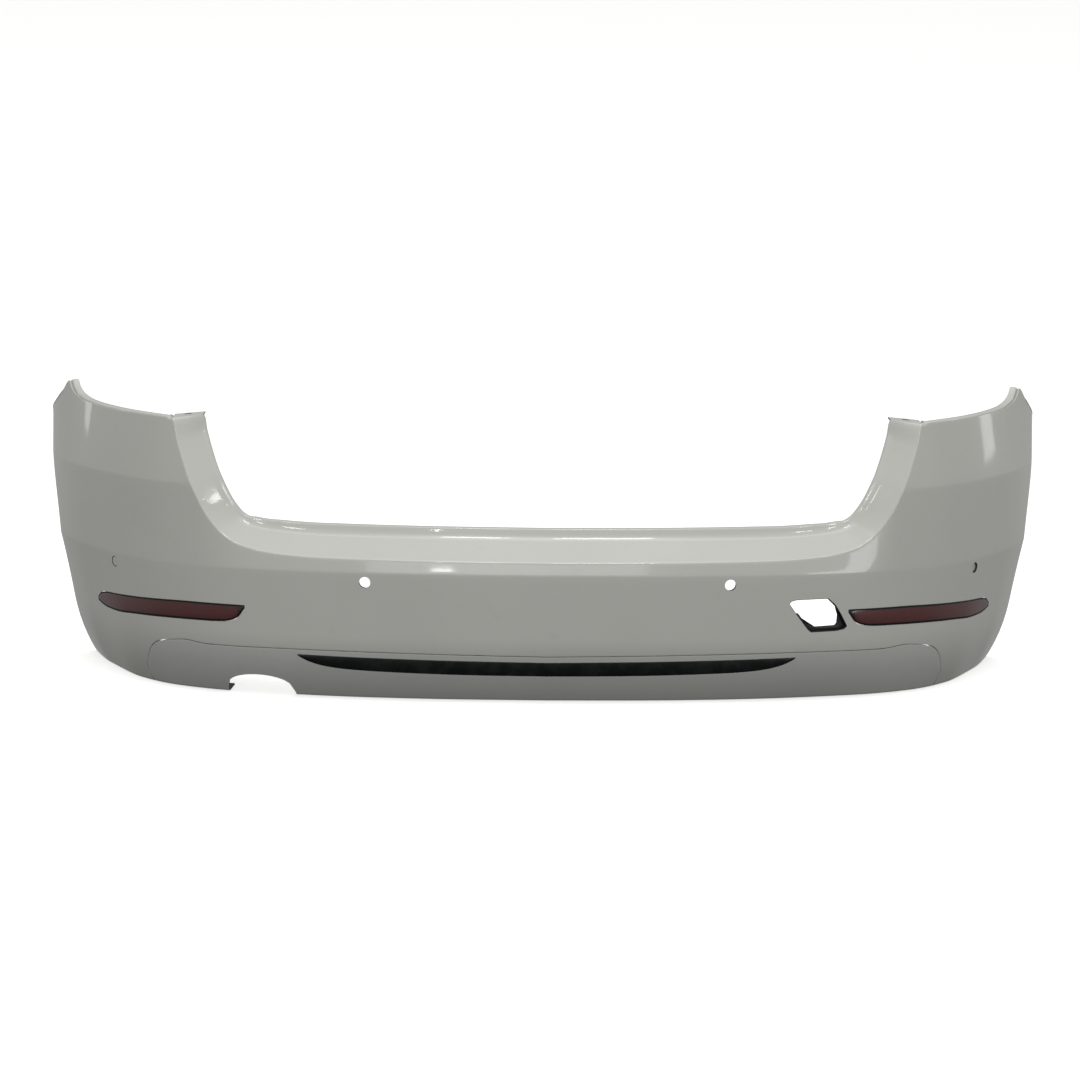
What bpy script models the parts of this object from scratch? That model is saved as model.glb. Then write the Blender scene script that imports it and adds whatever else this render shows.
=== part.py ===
"""Rear bumper cover of an estate car, off the car: painted skin, painted lower valance, gloss trim strip,
reflectors, sensor holders and the clips that stay on the cover when it comes off.

Run with: blender --background --python part.py
Metres, +Z up, +X to the right seen from behind the car, +Y forward into the car. The origin is at the
bottom centre of the whole cover. Places on the cover are given as (along, height, depth): along is the
distance from the centre line measured on the belt curve, height is above the lowest edge, and depth is
measured inwards from the painted face.
"""

import math

import bmesh
import bpy
import numpy as np
from mathutils import Matrix, Vector

COLLECTION = "rear_bumper_cover"

# Overall sizes
HALF_WIDTH = 0.950  # centre line to the tip of a wing
WING_DEPTH = 0.611  # rearmost point of the face to the tip of a wing
RAIL_HEIGHT = 0.254  # crease under the loading ledge, at the centre
EAR_HEIGHT = 0.486  # lamp edge at the top of an ear
PEAK_HEIGHT = EAR_HEIGHT + 0.035  # outer end of the lamp edge
TIP_HEIGHT = EAR_HEIGHT - 0.046  # top front corner of a wing
WALL = 0.0030  # moulded wall
GAP = 0.0006  # clearance between pieces that fit each other
CLEAR = 0.0010  # clearance of pieces seated behind a curved wall

# Heights of the creases that run round the face
VALANCE_CREASE = 0.120
BELT_CREASE = 0.232
EAR_CREASE = 0.375

# Loading ledge and ear
LEDGE_DEPTH = 0.056
LEDGE_RISE = 0.034
UPSTAND_DEPTH = 0.006
UPSTAND_RISE = 0.016
LEDGE_LIP = 0.014
EAR_BAND = Vector((-0.050, 0.032, 0.001))  # ear crease to the ear's inner edge
EAR_FULLNESS = 0.4  # how much wider the band is round the corner of the opening
EAR_FOLD = 0.85  # share of the ear's band where the ledge's fold runs out
EAR_LIP = 0.002
LAMP_FLANGE = 0.018
LAMP_FLANGE_RUN_OUT = 0.060  # distance past the peak over which the flange fades
LAMP_FLANGE_LEAST = 0.12
TAB_LENGTH = 0.044  # fastening tab on top of an ear
TAB_RISE = EAR_BAND.z * TAB_LENGTH / EAR_BAND.y  # keeps the tab flat
TAB_SLOT = (0.013, 0.009)
TAB_SLOT_FROM_EDGE = 0.013

# Wheel arch
ARCH_CENTRE_HEIGHT = 0.110
ARCH_RADIUS = 0.370
ARCH_CENTRE_BEYOND_TIP = 0.169
ARCH_FLANGE = 0.024
ARCH_FADE_TOP = 0.060
ARCH_FADE_BOTTOM = 0.030
ARCH_FADE_START = 0.015
EDGE_FLANGE = 0.0015  # least width of the flange along the arch
BOTTOM_FLANGE = 0.022
BOTTOM_FLANGE_RISE = 0.0065  # keeps the nuts clear of what the cover stands on
SEAM_FLANGE = 0.012

# Seam between skin and valance
SEAM_HEIGHT = 0.089
SEAM_GAP = 0.0012
VALANCE_END = 0.217  # inwards from the wing tip, to the end of the valance

# Trim strip in the valance
STRIP_HALF_LENGTH = 0.437
STRIP_TOP = 0.0775
STRIP_BOTTOM = 0.052
STRIP_RISE = 0.0055  # how much higher the tips are than the middle of the top edge
STRIP_PROUD = 0.0008
STRIP_WEB = 0.0015
STRIP_FLANGE = 0.0045

# Exhaust cut-out, left of the centre
EXHAUST_X = -0.5145
EXHAUST_HALF_WIDTH = 0.0615
EXHAUST_RISE = 0.039
EXHAUST_FOOT = 0.010  # height where the notch's sides start to close in
EXHAUST_CUT_DEPTH = 0.20

# Parking sensor holes
SENSOR_DIAMETER = 0.0195
SENSOR_HEIGHT = 0.216
INNER_SENSOR_X = 0.318
OUTER_SENSOR_FROM_TIP = 0.172
HOLDER_BORE = SENSOR_DIAMETER + 0.003
HOLDER_WALL = 0.0018
HOLDER_OUTER_DIAMETER = HOLDER_BORE + 0.0075
HOLDER_FOOT = 0.0022
HOLDER_LENGTH = 0.009
SENSOR_RADIUS = SENSOR_DIAMETER / 2 - GAP
SENSOR_COLLAR_RADIUS = HOLDER_BORE / 2 - GAP
SENSOR_LENGTH = 0.017
SENSOR_BEVEL = 0.0006
SENSOR_RECESS = {"outer_left": 0.0008, "outer_right": 0.0034}  # the right one is pushed in

# Reflectors
REFLECTOR_FROM_TIP = 0.419  # inner point of the reflector, inwards from the wing tip
REFLECTOR_LENGTH = 0.296
REFLECTOR_TOP = 0.1662
REFLECTOR_STEP = 0.018  # distance between sections
REFLECTOR_RIM = 0.0022
LEAST_SECTION = 0.0012
REFLECTOR_PROUD = 0.0008
LENS_THICKNESS = 0.0055
HOUSING_DEPTH = 0.015
HOUSING_FLANGE = 0.0045

# Tow eye opening, right of the centre
TOW_X = 0.4765
TOW_HEIGHT = 0.158
TOW_WALL = 0.0022
TOW_DEPTH = 0.011
TOW_SLOT = (0.017, 0.0025)
TOW_SLOT_DROP = 0.0283  # lower edge of the slots, below the middle of the opening
TOW_SLOT_XS = (-0.0115, 0.0140)

# Fasteners
NUT_WIDTH = 0.016
NUT_LENGTH = 0.017
NUT_PLATE = 0.0010
NUT_BORE = 0.0052
NUT_CLEAR = 0.0016
CLIP_WIDTH = 0.014
CLIP_REACH = SEAM_FLANGE - WALL - CLEAR - STRIP_WEB  # stops behind the trim strip
ARCH_NUT_HEIGHTS = (0.060, 0.180, 0.300)
ARCH_NUT_PLACE = 0.62  # share of the flange from its root to its free edge
VALANCE_CLIP_XS = (-0.600, -0.360, -0.120, 0.120, 0.360, 0.600)
BOTTOM_NUT_XS = (-0.300, 0.000, 0.300, 0.640)
BOTTOM_NUT_PLACE = 0.60
ARCH_NUT_BACK = 0.0040  # room behind the free edge, because the flange curves
BOTTOM_NUT_BACK = 0.0010

REAR_FACE_Y = -WING_DEPTH / 2
CORNER_DEPTH = 0.253  # rearmost point of the face to the end of the rounded corner
WING_LENGTH = WING_DEPTH - CORNER_DEPTH
SLOPE_STEP = 0.004  # step for measuring slopes along and up the face
EAR_ROOT_FROM_TIP = 0.480  # where the rail begins to rise
COLUMN_STEP = 0.060  # widest gap between columns of the middle stretch
CUTTER_REACH = 0.02  # how far a cutter runs past the wall


# ---------------------------------------------------------------- curves and surfaces


def smooth_through(places, knots, values):
    """Monotone cubic through the knots: it never overshoots them."""
    knots = np.asarray(knots, float)
    values = np.asarray(values, float)
    steps = np.diff(knots)
    slopes = np.diff(values) / steps
    tangents = np.empty(len(knots))
    tangents[0] = slopes[0]
    tangents[-1] = slopes[-1]
    before = slopes[:-1]
    after = slopes[1:]
    weight_1 = 2 * steps[1:] + steps[:-1]
    weight_2 = steps[1:] + 2 * steps[:-1]
    same = before * after > 0
    middle = np.zeros(len(before))
    middle[same] = (weight_1 + weight_2)[same] / (
        weight_1[same] / before[same] + weight_2[same] / after[same]
    )
    tangents[1:-1] = middle
    places = np.clip(np.asarray(places, float), knots[0], knots[-1])
    cell = np.clip(np.searchsorted(knots, places, side="right") - 1, 0, len(steps) - 1)
    t = (places - knots[cell]) / steps[cell]
    h = steps[cell]
    return (
        values[cell] * (1 + 2 * t) * (1 - t) ** 2
        + tangents[cell] * h * t * (1 - t) ** 2
        + values[cell + 1] * t**2 * (3 - 2 * t)
        - tangents[cell + 1] * h * t**2 * (1 - t)
    )


def from_tip(distance):
    return HALF_WIDTH - distance


BELT_KNOTS = np.array(
    [
        (0.0, 0.0),
        (0.15, 0.0034),
        (0.30, 0.014),
        (from_tip(0.400), 0.060),
        (from_tip(0.270), 0.117),
        (from_tip(0.190), 0.185),
        (from_tip(0.135), CORNER_DEPTH),
        (from_tip(0.085), CORNER_DEPTH + 0.209 * WING_LENGTH),
        (from_tip(0.045), CORNER_DEPTH + 0.453 * WING_LENGTH),
        (from_tip(0.015), CORNER_DEPTH + 0.718 * WING_LENGTH),
        (HALF_WIDTH, WING_DEPTH),
    ]
)
_chords = np.concatenate([[0], np.cumsum(np.hypot(*np.diff(BELT_KNOTS, axis=0).T))])
_fine = np.linspace(0, _chords[-1], 1200)
_belt = np.column_stack(
    [
        smooth_through(_fine, _chords, BELT_KNOTS[:, 0]),
        smooth_through(_fine, _chords, BELT_KNOTS[:, 1]),
    ]
)
ALONG = np.concatenate([[0], np.cumsum(np.hypot(*np.diff(_belt, axis=0).T))])
_tangent = np.gradient(_belt, ALONG, axis=0)
_tangent[0] = (1, 0)
_window = np.ones(41) / 41
for _axis in (0, 1):
    _padded = np.pad(_tangent[:, _axis], 20, mode="reflect", reflect_type="odd")
    _tangent[:, _axis] = np.convolve(_padded, _window, mode="valid")
_tangent /= np.linalg.norm(_tangent, axis=1)[:, None]
END = ALONG[-1]


def along_x(x):
    """Place on the belt that is x from the centre line."""
    return float(np.interp(abs(x), _belt[:, 0], ALONG))


def along_y(y):
    """Place on the belt that is y forward of the rearmost face."""
    return float(np.interp(y, _belt[:, 1], ALONG))


def belt_point(along):
    return np.array([np.interp(along, ALONG, _belt[:, 0]), np.interp(along, ALONG, _belt[:, 1])])


def belt_inward(along):
    """Unit vector into the car, square to the belt."""
    tangent = np.array([np.interp(along, ALONG, _tangent[:, 0]), np.interp(along, ALONG, _tangent[:, 1])])
    tangent /= np.linalg.norm(tangent)
    return np.array([-tangent[1], tangent[0]])


EAR_AT = along_x(from_tip(0.273))
PEAK_AT = along_y(WING_DEPTH - 0.211)
_x_places = [0.0] + [along_x(from_tip(d)) for d in (0.450, 0.330, 0.190, 0.100, 0.030)] + [END]


def by_place(along, *values):
    """A value that changes smoothly from the centre, past the ear's root, the ear and the corner."""
    return smooth_through(along, _x_places, values)


def inset(along, height):
    """Distance of the painted face inwards from the belt curve: lean below the belt crease, roll under
    the valance crease, and tilt above the belt crease and above the ear crease."""
    lean = by_place(along, 0.010, 0.015, 0.022, 0.055, 0.130, 0.170, 0.170)
    roll = by_place(along, 0.046, 0.044, 0.038, 0.027, 0.024, 0.023, 0.023)
    tilt = by_place(along, 0.250, 0.220, 0.040, 0.030, 0.010, 0.000, 0.000)
    upper = by_place(along, 0.160, 0.160, 0.160, 0.160, 0.170, 0.060, 0.000)
    under = np.clip((VALANCE_CREASE - height) / VALANCE_CREASE, 0, 1)
    return (
        lean * np.maximum(BELT_CREASE - height, 0)
        + roll * under**2.2
        + tilt * np.maximum(height - BELT_CREASE, 0)
        + upper * np.maximum(height - EAR_CREASE, 0)
    )


def face(along, height, depth=0.0):
    """Point of the right half, at a depth inwards from the painted face."""
    reach = float(inset(along, height)) + depth
    x, y = belt_point(along) + belt_inward(along) * reach
    return np.array([x, REAR_FACE_Y + y, height])


# (inwards from the tip, share of the rise from the rail to the ear)
SWEEP = (
    (0.560, 0.01), (0.462, 0.034), (0.408, 0.084), (0.380, 0.153),
    (0.3535, 0.276), (0.3205, 0.526), (0.2885, 0.828),
)  # fmt: skip
TOP_KNOTS = (
    [(0.0, RAIL_HEIGHT)]
    + [(along_x(from_tip(d)), RAIL_HEIGHT + share * (EAR_HEIGHT - RAIL_HEIGHT)) for d, share in SWEEP]
    + [(EAR_AT, EAR_HEIGHT), (along_x(from_tip(0.140)), EAR_HEIGHT + 0.002)]
    + [(along_x(from_tip(0.090)), EAR_HEIGHT + 0.005), (along_x(from_tip(0.067)), EAR_HEIGHT + 0.012)]
    + [(PEAK_AT - 0.008, PEAK_HEIGHT - 0.009), (PEAK_AT, PEAK_HEIGHT)]
    + [(along_y(WING_DEPTH - 0.180), PEAK_HEIGHT - 0.021)]
    + [(along_y(WING_DEPTH - 0.111), TIP_HEIGHT + 0.029)]
    + [(along_y(WING_DEPTH - 0.050), TIP_HEIGHT + 0.014), (along_y(WING_DEPTH - 0.008), TIP_HEIGHT)]
    + [(END, TIP_HEIGHT - 0.012)]
)


def bottom_rim(along):
    """Free edge of the flange behind the lowest edge."""
    return face(along, 0.0, BOTTOM_FLANGE) + (0, 0, BOTTOM_FLANGE_RISE)


def top_height(along):
    return float(smooth_through(along, *zip(*TOP_KNOTS)))


# (inwards from the tip, rise above the middle of the seam)
SEAM_ENDS = (
    (0.350, 0.003), (0.308, 0.007), (0.282, 0.004),
    (0.254, -0.003), (0.240, -0.013), (0.227, -0.033),
)  # fmt: skip
SEAM_KNOTS = (
    [(0.0, SEAM_HEIGHT), (along_x(0.43), SEAM_HEIGHT + 0.004)]
    + [(along_x(from_tip(d)), SEAM_HEIGHT + rise) for d, rise in SEAM_ENDS]
    + [(along_x(from_tip(VALANCE_END)), SEAM_HEIGHT - 0.055)]
)
SEAM_END_AT = SEAM_KNOTS[-1][0]


def seam_height(along):
    return float(smooth_through(along, *zip(*SEAM_KNOTS)))


def arch_at(height):
    """Place on the belt where the wheel arch crosses this height."""
    drop = min(abs(height - ARCH_CENTRE_HEIGHT), ARCH_RADIUS * 0.999)
    back = math.sqrt(ARCH_RADIUS**2 - drop**2)
    return min(along_y(WING_DEPTH + ARCH_CENTRE_BEYOND_TIP - back), END)


# ---------------------------------------------------------------- objects


def collection_named(name):
    found = bpy.data.collections.new(name)
    bpy.context.scene.collection.children.link(found)
    return found


def clear_scene():
    for obj in list(bpy.data.objects):
        bpy.data.objects.remove(obj, do_unlink=True)
    for mesh in list(bpy.data.meshes):
        bpy.data.meshes.remove(mesh)


def material(name, colour, roughness, metallic=0.0):
    made = bpy.data.materials.new(name)
    made.use_nodes = True
    shader = made.node_tree.nodes["Principled BSDF"]
    shader.inputs["Base Color"].default_value = (*colour, 1.0)
    shader.inputs["Roughness"].default_value = roughness
    shader.inputs["Metallic"].default_value = metallic
    made.diffuse_color = (*colour, 1.0)
    return made


def object_of(name, mesh, finish, parts):
    obj = bpy.data.objects.new(name, mesh)
    if finish:
        mesh.materials.append(finish)
    parts.objects.link(obj)
    return obj


def mesh_of(name, shape):
    mesh = bpy.data.meshes.new(name)
    shape.to_mesh(mesh)
    shape.free()
    return mesh


def closed_mesh(name, shape):
    """A mesh whose faces all point out."""
    shape.normal_update()
    bmesh.ops.recalc_face_normals(shape, faces=shape.faces)
    if shape.calc_volume(signed=True) < 0:
        bmesh.ops.reverse_faces(shape, faces=shape.faces)
    return mesh_of(name, shape)


def grid_mesh(name, rows):
    """Open sheet through a grid of points, where None leaves a cell out. Doubled points are merged."""
    shape = bmesh.new()
    corners = [[None if p is None else shape.verts.new(p) for p in row] for row in rows]
    for lower, upper in zip(corners, corners[1:]):
        for k in range(len(lower) - 1):
            ring = [lower[k], upper[k], upper[k + 1], lower[k + 1]]
            if None not in ring:
                shape.faces.new(ring)
    bmesh.ops.remove_doubles(shape, verts=shape.verts, dist=1e-5)
    bmesh.ops.dissolve_degenerate(shape, dist=1e-6, edges=shape.edges)
    return mesh_of(name, shape)


def prism_mesh(name, lower, upper):
    """Closed prism between two outlines with the same number of points."""
    shape = bmesh.new()
    below = [shape.verts.new(p) for p in lower]
    above = [shape.verts.new(p) for p in upper]
    shape.faces.new(below)
    shape.faces.new(reversed(above))
    for k, vert in enumerate(below):
        after = (k + 1) % len(below)
        shape.faces.new([vert, above[k], above[after], below[after]])
    bmesh.ops.triangulate(shape, faces=[f for f in shape.faces if len(f.verts) > 4])
    return closed_mesh(name, shape)


def loft_mesh(name, sections):
    """Closed loft through sections with the same number of points."""
    shape = bmesh.new()
    rings = [[shape.verts.new(p) for p in section] for section in sections]
    caps = [shape.faces.new(rings[0]), shape.faces.new(reversed(rings[-1]))]
    bmesh.ops.triangulate(shape, faces=caps)
    for before, after in zip(rings, rings[1:]):
        for k, vert in enumerate(before):
            nxt = (k + 1) % len(before)
            shape.faces.new([vert, after[k], after[nxt], before[nxt]])
    return closed_mesh(name, shape)


def side_points(points, side):
    return [(side * p[0], p[1], p[2]) for p in points]


def cut(obj, cutter, operation="DIFFERENCE"):
    modifier = obj.modifiers.new(f"{operation.lower()}_{cutter.name}", "BOOLEAN")
    modifier.operation = operation
    modifier.solver = "EXACT"
    modifier.object = cutter
    return modifier


def cutter_of(name, mesh, cutters):
    obj = object_of(name, mesh, None, cutters)
    obj.hide_render = True
    obj.display_type = "WIRE"
    return obj


def frame_at(x, height, depth):
    """Matrix at a point of the face: local X along the cover, local Y up the face, local Z outwards."""
    side = -1 if x < 0 else 1
    along = along_x(x)
    step = SLOPE_STEP
    across = face(along + step, height, depth) - face(along - step, height, depth)
    upward = face(along, height + step, depth) - face(along, height - step, depth)
    across = Vector((across[0], side * across[1], 0.0)).normalized()
    upward = Vector((side * upward[0], upward[1], upward[2])).normalized()
    outward = across.cross(upward).normalized()
    upward = outward.cross(across)
    point = face(along, height, depth)
    turned = Matrix((across, upward, outward)).transposed().to_4x4()
    return Matrix.Translation((side * point[0], point[1], point[2])) @ turned


def round_bar(name, placed, radius, low, high, sides=24):
    """Cylinder along the local Z of a placed frame."""
    shape = bmesh.new()
    bmesh.ops.create_cone(
        shape, cap_ends=True, segments=sides, radius1=radius, radius2=radius, depth=high - low
    )
    bmesh.ops.translate(shape, verts=shape.verts, vec=(0, 0, (high + low) / 2))
    shape.transform(placed)
    return closed_mesh(name, shape)


def grown(outline, distance):
    """Outline moved outwards by a distance, with mitred corners. The outline runs counter-clockwise."""
    moved = []
    count = len(outline)
    for k, point in enumerate(outline):
        here = Vector(point)
        before = (here - Vector(outline[k - 1])).normalized()
        after = (Vector(outline[(k + 1) % count]) - here).normalized()
        out_before = Vector((before.y, -before.x))
        out_after = Vector((after.y, -after.x))
        mitre = (out_before + out_after).normalized()
        moved.append(tuple(here + mitre * (distance / max(mitre.dot(out_before), 0.5))))
    return moved


def face_prism(name, outline, shallow, deep, side=1):
    """Prism whose outline is drawn on the face as (x, height), between two depths."""
    low = side_points([face(along_x(x), z, shallow) for x, z in outline], side)
    high = side_points([face(along_x(x), z, deep) for x, z in outline], side)
    return prism_mesh(name, low, high)


# ---------------------------------------------------------------- skin


def top_rows(along):
    """Rows beyond the top of a column: ledge and upstand behind the rail, flange behind a lamp."""
    top = top_height(along)
    start = face(along, top)
    if along <= EAR_AT:
        before = along - SLOPE_STEP
        after = along + SLOPE_STEP
        run = face(after, top_height(after)) - face(before, top_height(before))
        rise = min(max(math.atan2(run[2], math.hypot(run[0], run[1])) / (math.pi / 2), 0), 1)
        if along >= EAR_AT - 1e-6:
            rise = 1
        flat = 1 - rise
        inward = np.append(belt_inward(along), 0)
        inward[0] *= rise
        inward /= np.linalg.norm(inward)
        band = np.array(EAR_BAND) * rise * (1 + EAR_FULLNESS * flat)
        ledge = inward * LEDGE_DEPTH + (0, 0, LEDGE_RISE)
        upstand = inward * UPSTAND_DEPTH + (0, 0, UPSTAND_RISE)
        fold = start + flat * ledge + band * EAR_FOLD
        edge = start + flat * (ledge + upstand) + band
        lip = edge + (flat * LEDGE_LIP + rise * EAR_LIP) * inward
        return [start + (fold - start) * 0.5, fold, edge, lip]
    inward = np.append(belt_inward(along), 0)
    width = LAMP_FLANGE * min(max(1 - (along - PEAK_AT) / LAMP_FLANGE_RUN_OUT, LAMP_FLANGE_LEAST), 1)
    return [start + inward * width * share for share in (0.25, 0.5, 0.85, 1.0)]


def tab_corners():
    """Inner and outer far corners of the fastening tab, on the right side."""
    root = face(EAR_AT, top_height(EAR_AT))
    far = root + (0, TAB_LENGTH, TAB_RISE)
    inner = far + (EAR_BAND.x + EAR_LIP, 0, 0)
    return inner, far


def tab_rows(corner):
    start = face(EAR_AT, top_height(EAR_AT))
    return [start + (corner - start) * share for share in (0.4, 0.75, 0.96, 1.0)]


def face_heights(low, top):
    """Heights of the rows of a column: they follow the creases, then share out what is above."""
    heights = [low + (VALANCE_CREASE - low) * share for share in (0.0, 0.15, 0.35, 0.58, 0.80, 1.0)]
    heights += [0.16, 0.20, BELT_CREASE]
    heights += [BELT_CREASE + (top - BELT_CREASE) * share for share in (0.20, 0.40, 0.57, 0.72, 0.87, 1.0)]
    return heights


def middle_columns():
    """Places of the evenly spaced columns from the centre to the root of the ear."""
    root = from_tip(EAR_ROOT_FROM_TIP)
    return [along_x(x) for x in np.linspace(0, root, math.ceil(root / COLUMN_STEP) + 1)]


def skin_columns():
    """Places of the columns of the right half, up to where the wing begins."""
    across = middle_columns()
    ear = [along_x(from_tip(d)) for d in (0.449, 0.419, 0.395, 0.375, 0.357, 0.340, 0.323, 0.306, 0.289)]
    seam = [along_x(from_tip(d)) for d in (0.264, 0.253, 0.240, 0.227)]
    corner = [along_x(from_tip(d)) for d in (0.206, 0.188, 0.172, 0.157, 0.142, 0.128)]
    return across + ear + [EAR_AT], seam + [SEAM_END_AT, SEAM_END_AT + SEAM_GAP] + corner


def arch_taper(height):
    """Share of the arch flange's width: it fades out towards the tip and towards the bottom edge."""
    upper = min(max((TIP_HEIGHT - height) / ARCH_FADE_TOP, 0.0), 1.0)
    lower = min(max((height - ARCH_FADE_START) / ARCH_FADE_BOTTOM, 0.0), 1.0)
    return upper * lower


def skin_mesh():
    inner, outer = skin_columns()
    rows = []

    def column(along, low, rest):
        heights = face_heights(low, top_height(along))
        rim = face(along, low, SEAM_FLANGE) if low > 0 else bottom_rim(along)
        rows.append([rim] + [face(along, z) for z in heights] + rest)

    for along in inner:
        column(along, seam_height(along), top_rows(along))
    for corner in tab_corners():
        column(EAR_AT, seam_height(EAR_AT), tab_rows(corner))
    for along in outer:
        low = seam_height(along) if along <= SEAM_END_AT else 0.0
        column(along, low, top_rows(along))
    start = outer[-1]
    to_peak = np.linspace(start, PEAK_AT, 4)[1:]
    to_tip = np.linspace(PEAK_AT, END, 7)[1:]
    for top_at in np.concatenate([to_peak, to_tip]):
        share = (top_at - start) / (END - start)
        heights = face_heights(0.0, top_height(top_at))
        places = [start + (arch_at(z) - start) * share for z in heights]
        places[-1] = top_at
        points = [face(a, z) for a, z in zip(places, heights)]
        rows.append([bottom_rim(places[0])] + points + top_rows(top_at))
    flange = [face(a, z, EDGE_FLANGE + ARCH_FLANGE * arch_taper(z)) for a, z in zip(places, heights)]
    rows.append([None, None] + flange[1:] + [None] * 4)
    return grid_mesh("skin_half", rows)


def tow_outline():
    """Outline of the tow eye opening: a slanted four-sided shape with cut corners."""
    shape = (
        (-0.0535, 0.0220), (-0.0395, 0.0020), (-0.0185, -0.0255), (-0.0125, -0.0300), (0.0325, -0.0290),
        (0.0475, -0.0265), (0.0525, -0.0210), (0.0415, 0.0000), (0.0305, 0.0180), (0.0175, 0.0300),
        (0.0115, 0.0305), (-0.0405, 0.0295), (-0.0500, 0.0270),
    )  # fmt: skip
    return [(TOW_X + x, TOW_HEIGHT + z) for x, z in shape]


def seat_outline():
    """Clear opening inside the flap's seat: the seat's lip runs along the lower edge and both sides."""
    shape = (
        (-0.0535, 0.0220), (-0.0415, 0.0040), (-0.0340, 0.0030), (-0.0275, -0.0055), (-0.0150, -0.0220),
        (0.0330, -0.0205), (0.0365, -0.0165), (0.0375, -0.0020), (0.0330, 0.0130), (0.0175, 0.0300),
        (0.0115, 0.0305), (-0.0405, 0.0295), (-0.0500, 0.0270),
    )  # fmt: skip
    return [(TOW_X + x, TOW_HEIGHT + z) for x, z in shape]


def slot_outline(x):
    wide, high = TOW_SLOT
    low = TOW_HEIGHT - TOW_SLOT_DROP
    return [(x, low), (x + wide, low), (x + wide, low + high), (x, low + high)]


def build_tow_seat(skin, cutters):
    """Recessed seat of the missing flap: a return wall, a lip behind it, two slots and a corner hole."""
    seat = face_prism("tow_seat", grown(tow_outline(), TOW_WALL), WALL / 2, TOW_DEPTH)
    cut(skin, cutter_of("tow_seat", seat, cutters), "UNION")
    recess = face_prism("tow_recess", tow_outline(), -CUTTER_REACH, TOW_DEPTH - TOW_WALL)
    cut(skin, cutter_of("tow_recess", recess, cutters))
    triangle = ((0.0395, -0.0165), (0.0475, -0.0165), (0.0400, -0.0100))
    corner = [(TOW_X + x, TOW_HEIGHT + z) for x, z in triangle]
    openings = {"through": seat_outline(), "corner": corner}
    openings |= {f"slot_{k}": slot_outline(TOW_X + x) for k, x in enumerate(TOW_SLOT_XS, 1)}
    for name, outline in openings.items():
        opening = face_prism(f"tow_{name}", outline, WALL, TOW_DEPTH + CUTTER_REACH)
        cut(skin, cutter_of(f"tow_{name}", opening, cutters))


def build_skin(parts, cutters, finish):
    skin = object_of("bumper_skin", skin_mesh(), finish, parts)
    mirror = skin.modifiers.new("mirror", "MIRROR")
    mirror.use_axis = (True, False, False)
    mirror.use_mirror_merge = True
    mirror.merge_threshold = 0.0001
    wall = skin.modifiers.new("wall", "SOLIDIFY")
    wall.thickness = WALL
    wall.offset = -1.0
    build_tow_seat(skin, cutters)
    for name, x in sensor_places().items():
        placed = frame_at(x, SENSOR_HEIGHT, 0.0)
        bore = round_bar(f"sensor_bore_{name}", placed, SENSOR_DIAMETER / 2, -CUTTER_REACH, CUTTER_REACH)
        cut(skin, cutter_of(f"sensor_bore_{name}", bore, cutters))
    for name, side in (("left", -1), ("right", 1)):
        opening = reflector_slab(f"reflector_opening_{name}", side, GAP, -CUTTER_REACH, CUTTER_REACH)
        cut(skin, cutter_of(f"reflector_opening_{name}", opening, cutters))
        cut(skin, cutter_of(f"tab_slot_{name}", tab_slot_mesh(side), cutters))
    for k, height in enumerate(ARCH_NUT_HEIGHTS, 1):
        for name, side in (("left", -1), ("right", 1)):
            placed = arch_flange_frame(side, height)
            bore = round_bar(f"arch_bore_{name}_{k}", placed, NUT_BORE / 2, -CUTTER_REACH, CUTTER_REACH, 12)
            cut(skin, cutter_of(f"arch_bore_{name}_{k}", bore, cutters))
    return skin


def tab_slot_mesh(side):
    inner, far = tab_corners()
    middle = (inner + far) / 2 - (0, TAB_SLOT_FROM_EDGE, 0)
    long, wide = TAB_SLOT
    shape = bmesh.new()
    bmesh.ops.create_cone(
        shape, cap_ends=True, segments=20, radius1=wide / 2, radius2=wide / 2, depth=2 * CUTTER_REACH
    )
    for vert in shape.verts:
        vert.co.x += math.copysign((long - wide) / 2, vert.co.x)
    bmesh.ops.translate(shape, verts=shape.verts, vec=(side * middle[0], middle[1], middle[2]))
    return closed_mesh("tab_slot", shape)


# ---------------------------------------------------------------- valance and trim strip


def valance_mesh():
    places = middle_columns()
    ends = (0.440, 0.400, 0.360, 0.325, 0.298, 0.282, 0.268, 0.254, 0.240, 0.227)
    places += [along_x(from_tip(d)) for d in ends]
    places.append(SEAM_END_AT - SEAM_GAP)
    rows = []
    for along in places:
        top = seam_height(along) - SEAM_GAP
        heights = [top * share for share in (0.0, 0.08, 0.18, 0.32, 0.50, 0.70, 0.86, 1.0)]
        points = [face(along, z) for z in heights]
        rows.append([bottom_rim(along)] + points + [face(along, top, SEAM_FLANGE)])
    return grid_mesh("valance_half", rows)


def strip_edges(x):
    """(bottom, top) of the trim strip at x: a lens that tapers to its raised tips."""
    share = abs(x) / STRIP_HALF_LENGTH
    top = STRIP_TOP + STRIP_RISE * share**1.2
    low = STRIP_BOTTOM + 0.009 * share**2 + (STRIP_TOP - STRIP_BOTTOM - 0.005) * share**14
    return low, top


def slab_ring(along, low, top, shallow, deep, flange=None):
    """Section of a bar in the wall between two heights and two depths. A flange is (width, shallow, deep):
    ears behind the wall, above and below the bar."""
    if flange is None:
        corners = [(low, shallow), (top, shallow), (top, deep), (low, deep)]
    else:
        width, near, far = flange
        corners = [(low, shallow), (top, shallow), (top, near), (top + width, near), (top + width, far)]
        if deep > far:
            corners += [(top, far), (top, deep), (low, deep), (low, far)]
        corners += [(low - width, far), (low - width, near), (low, near)]
    return [face(along, height, depth) for height, depth in corners]


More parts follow.
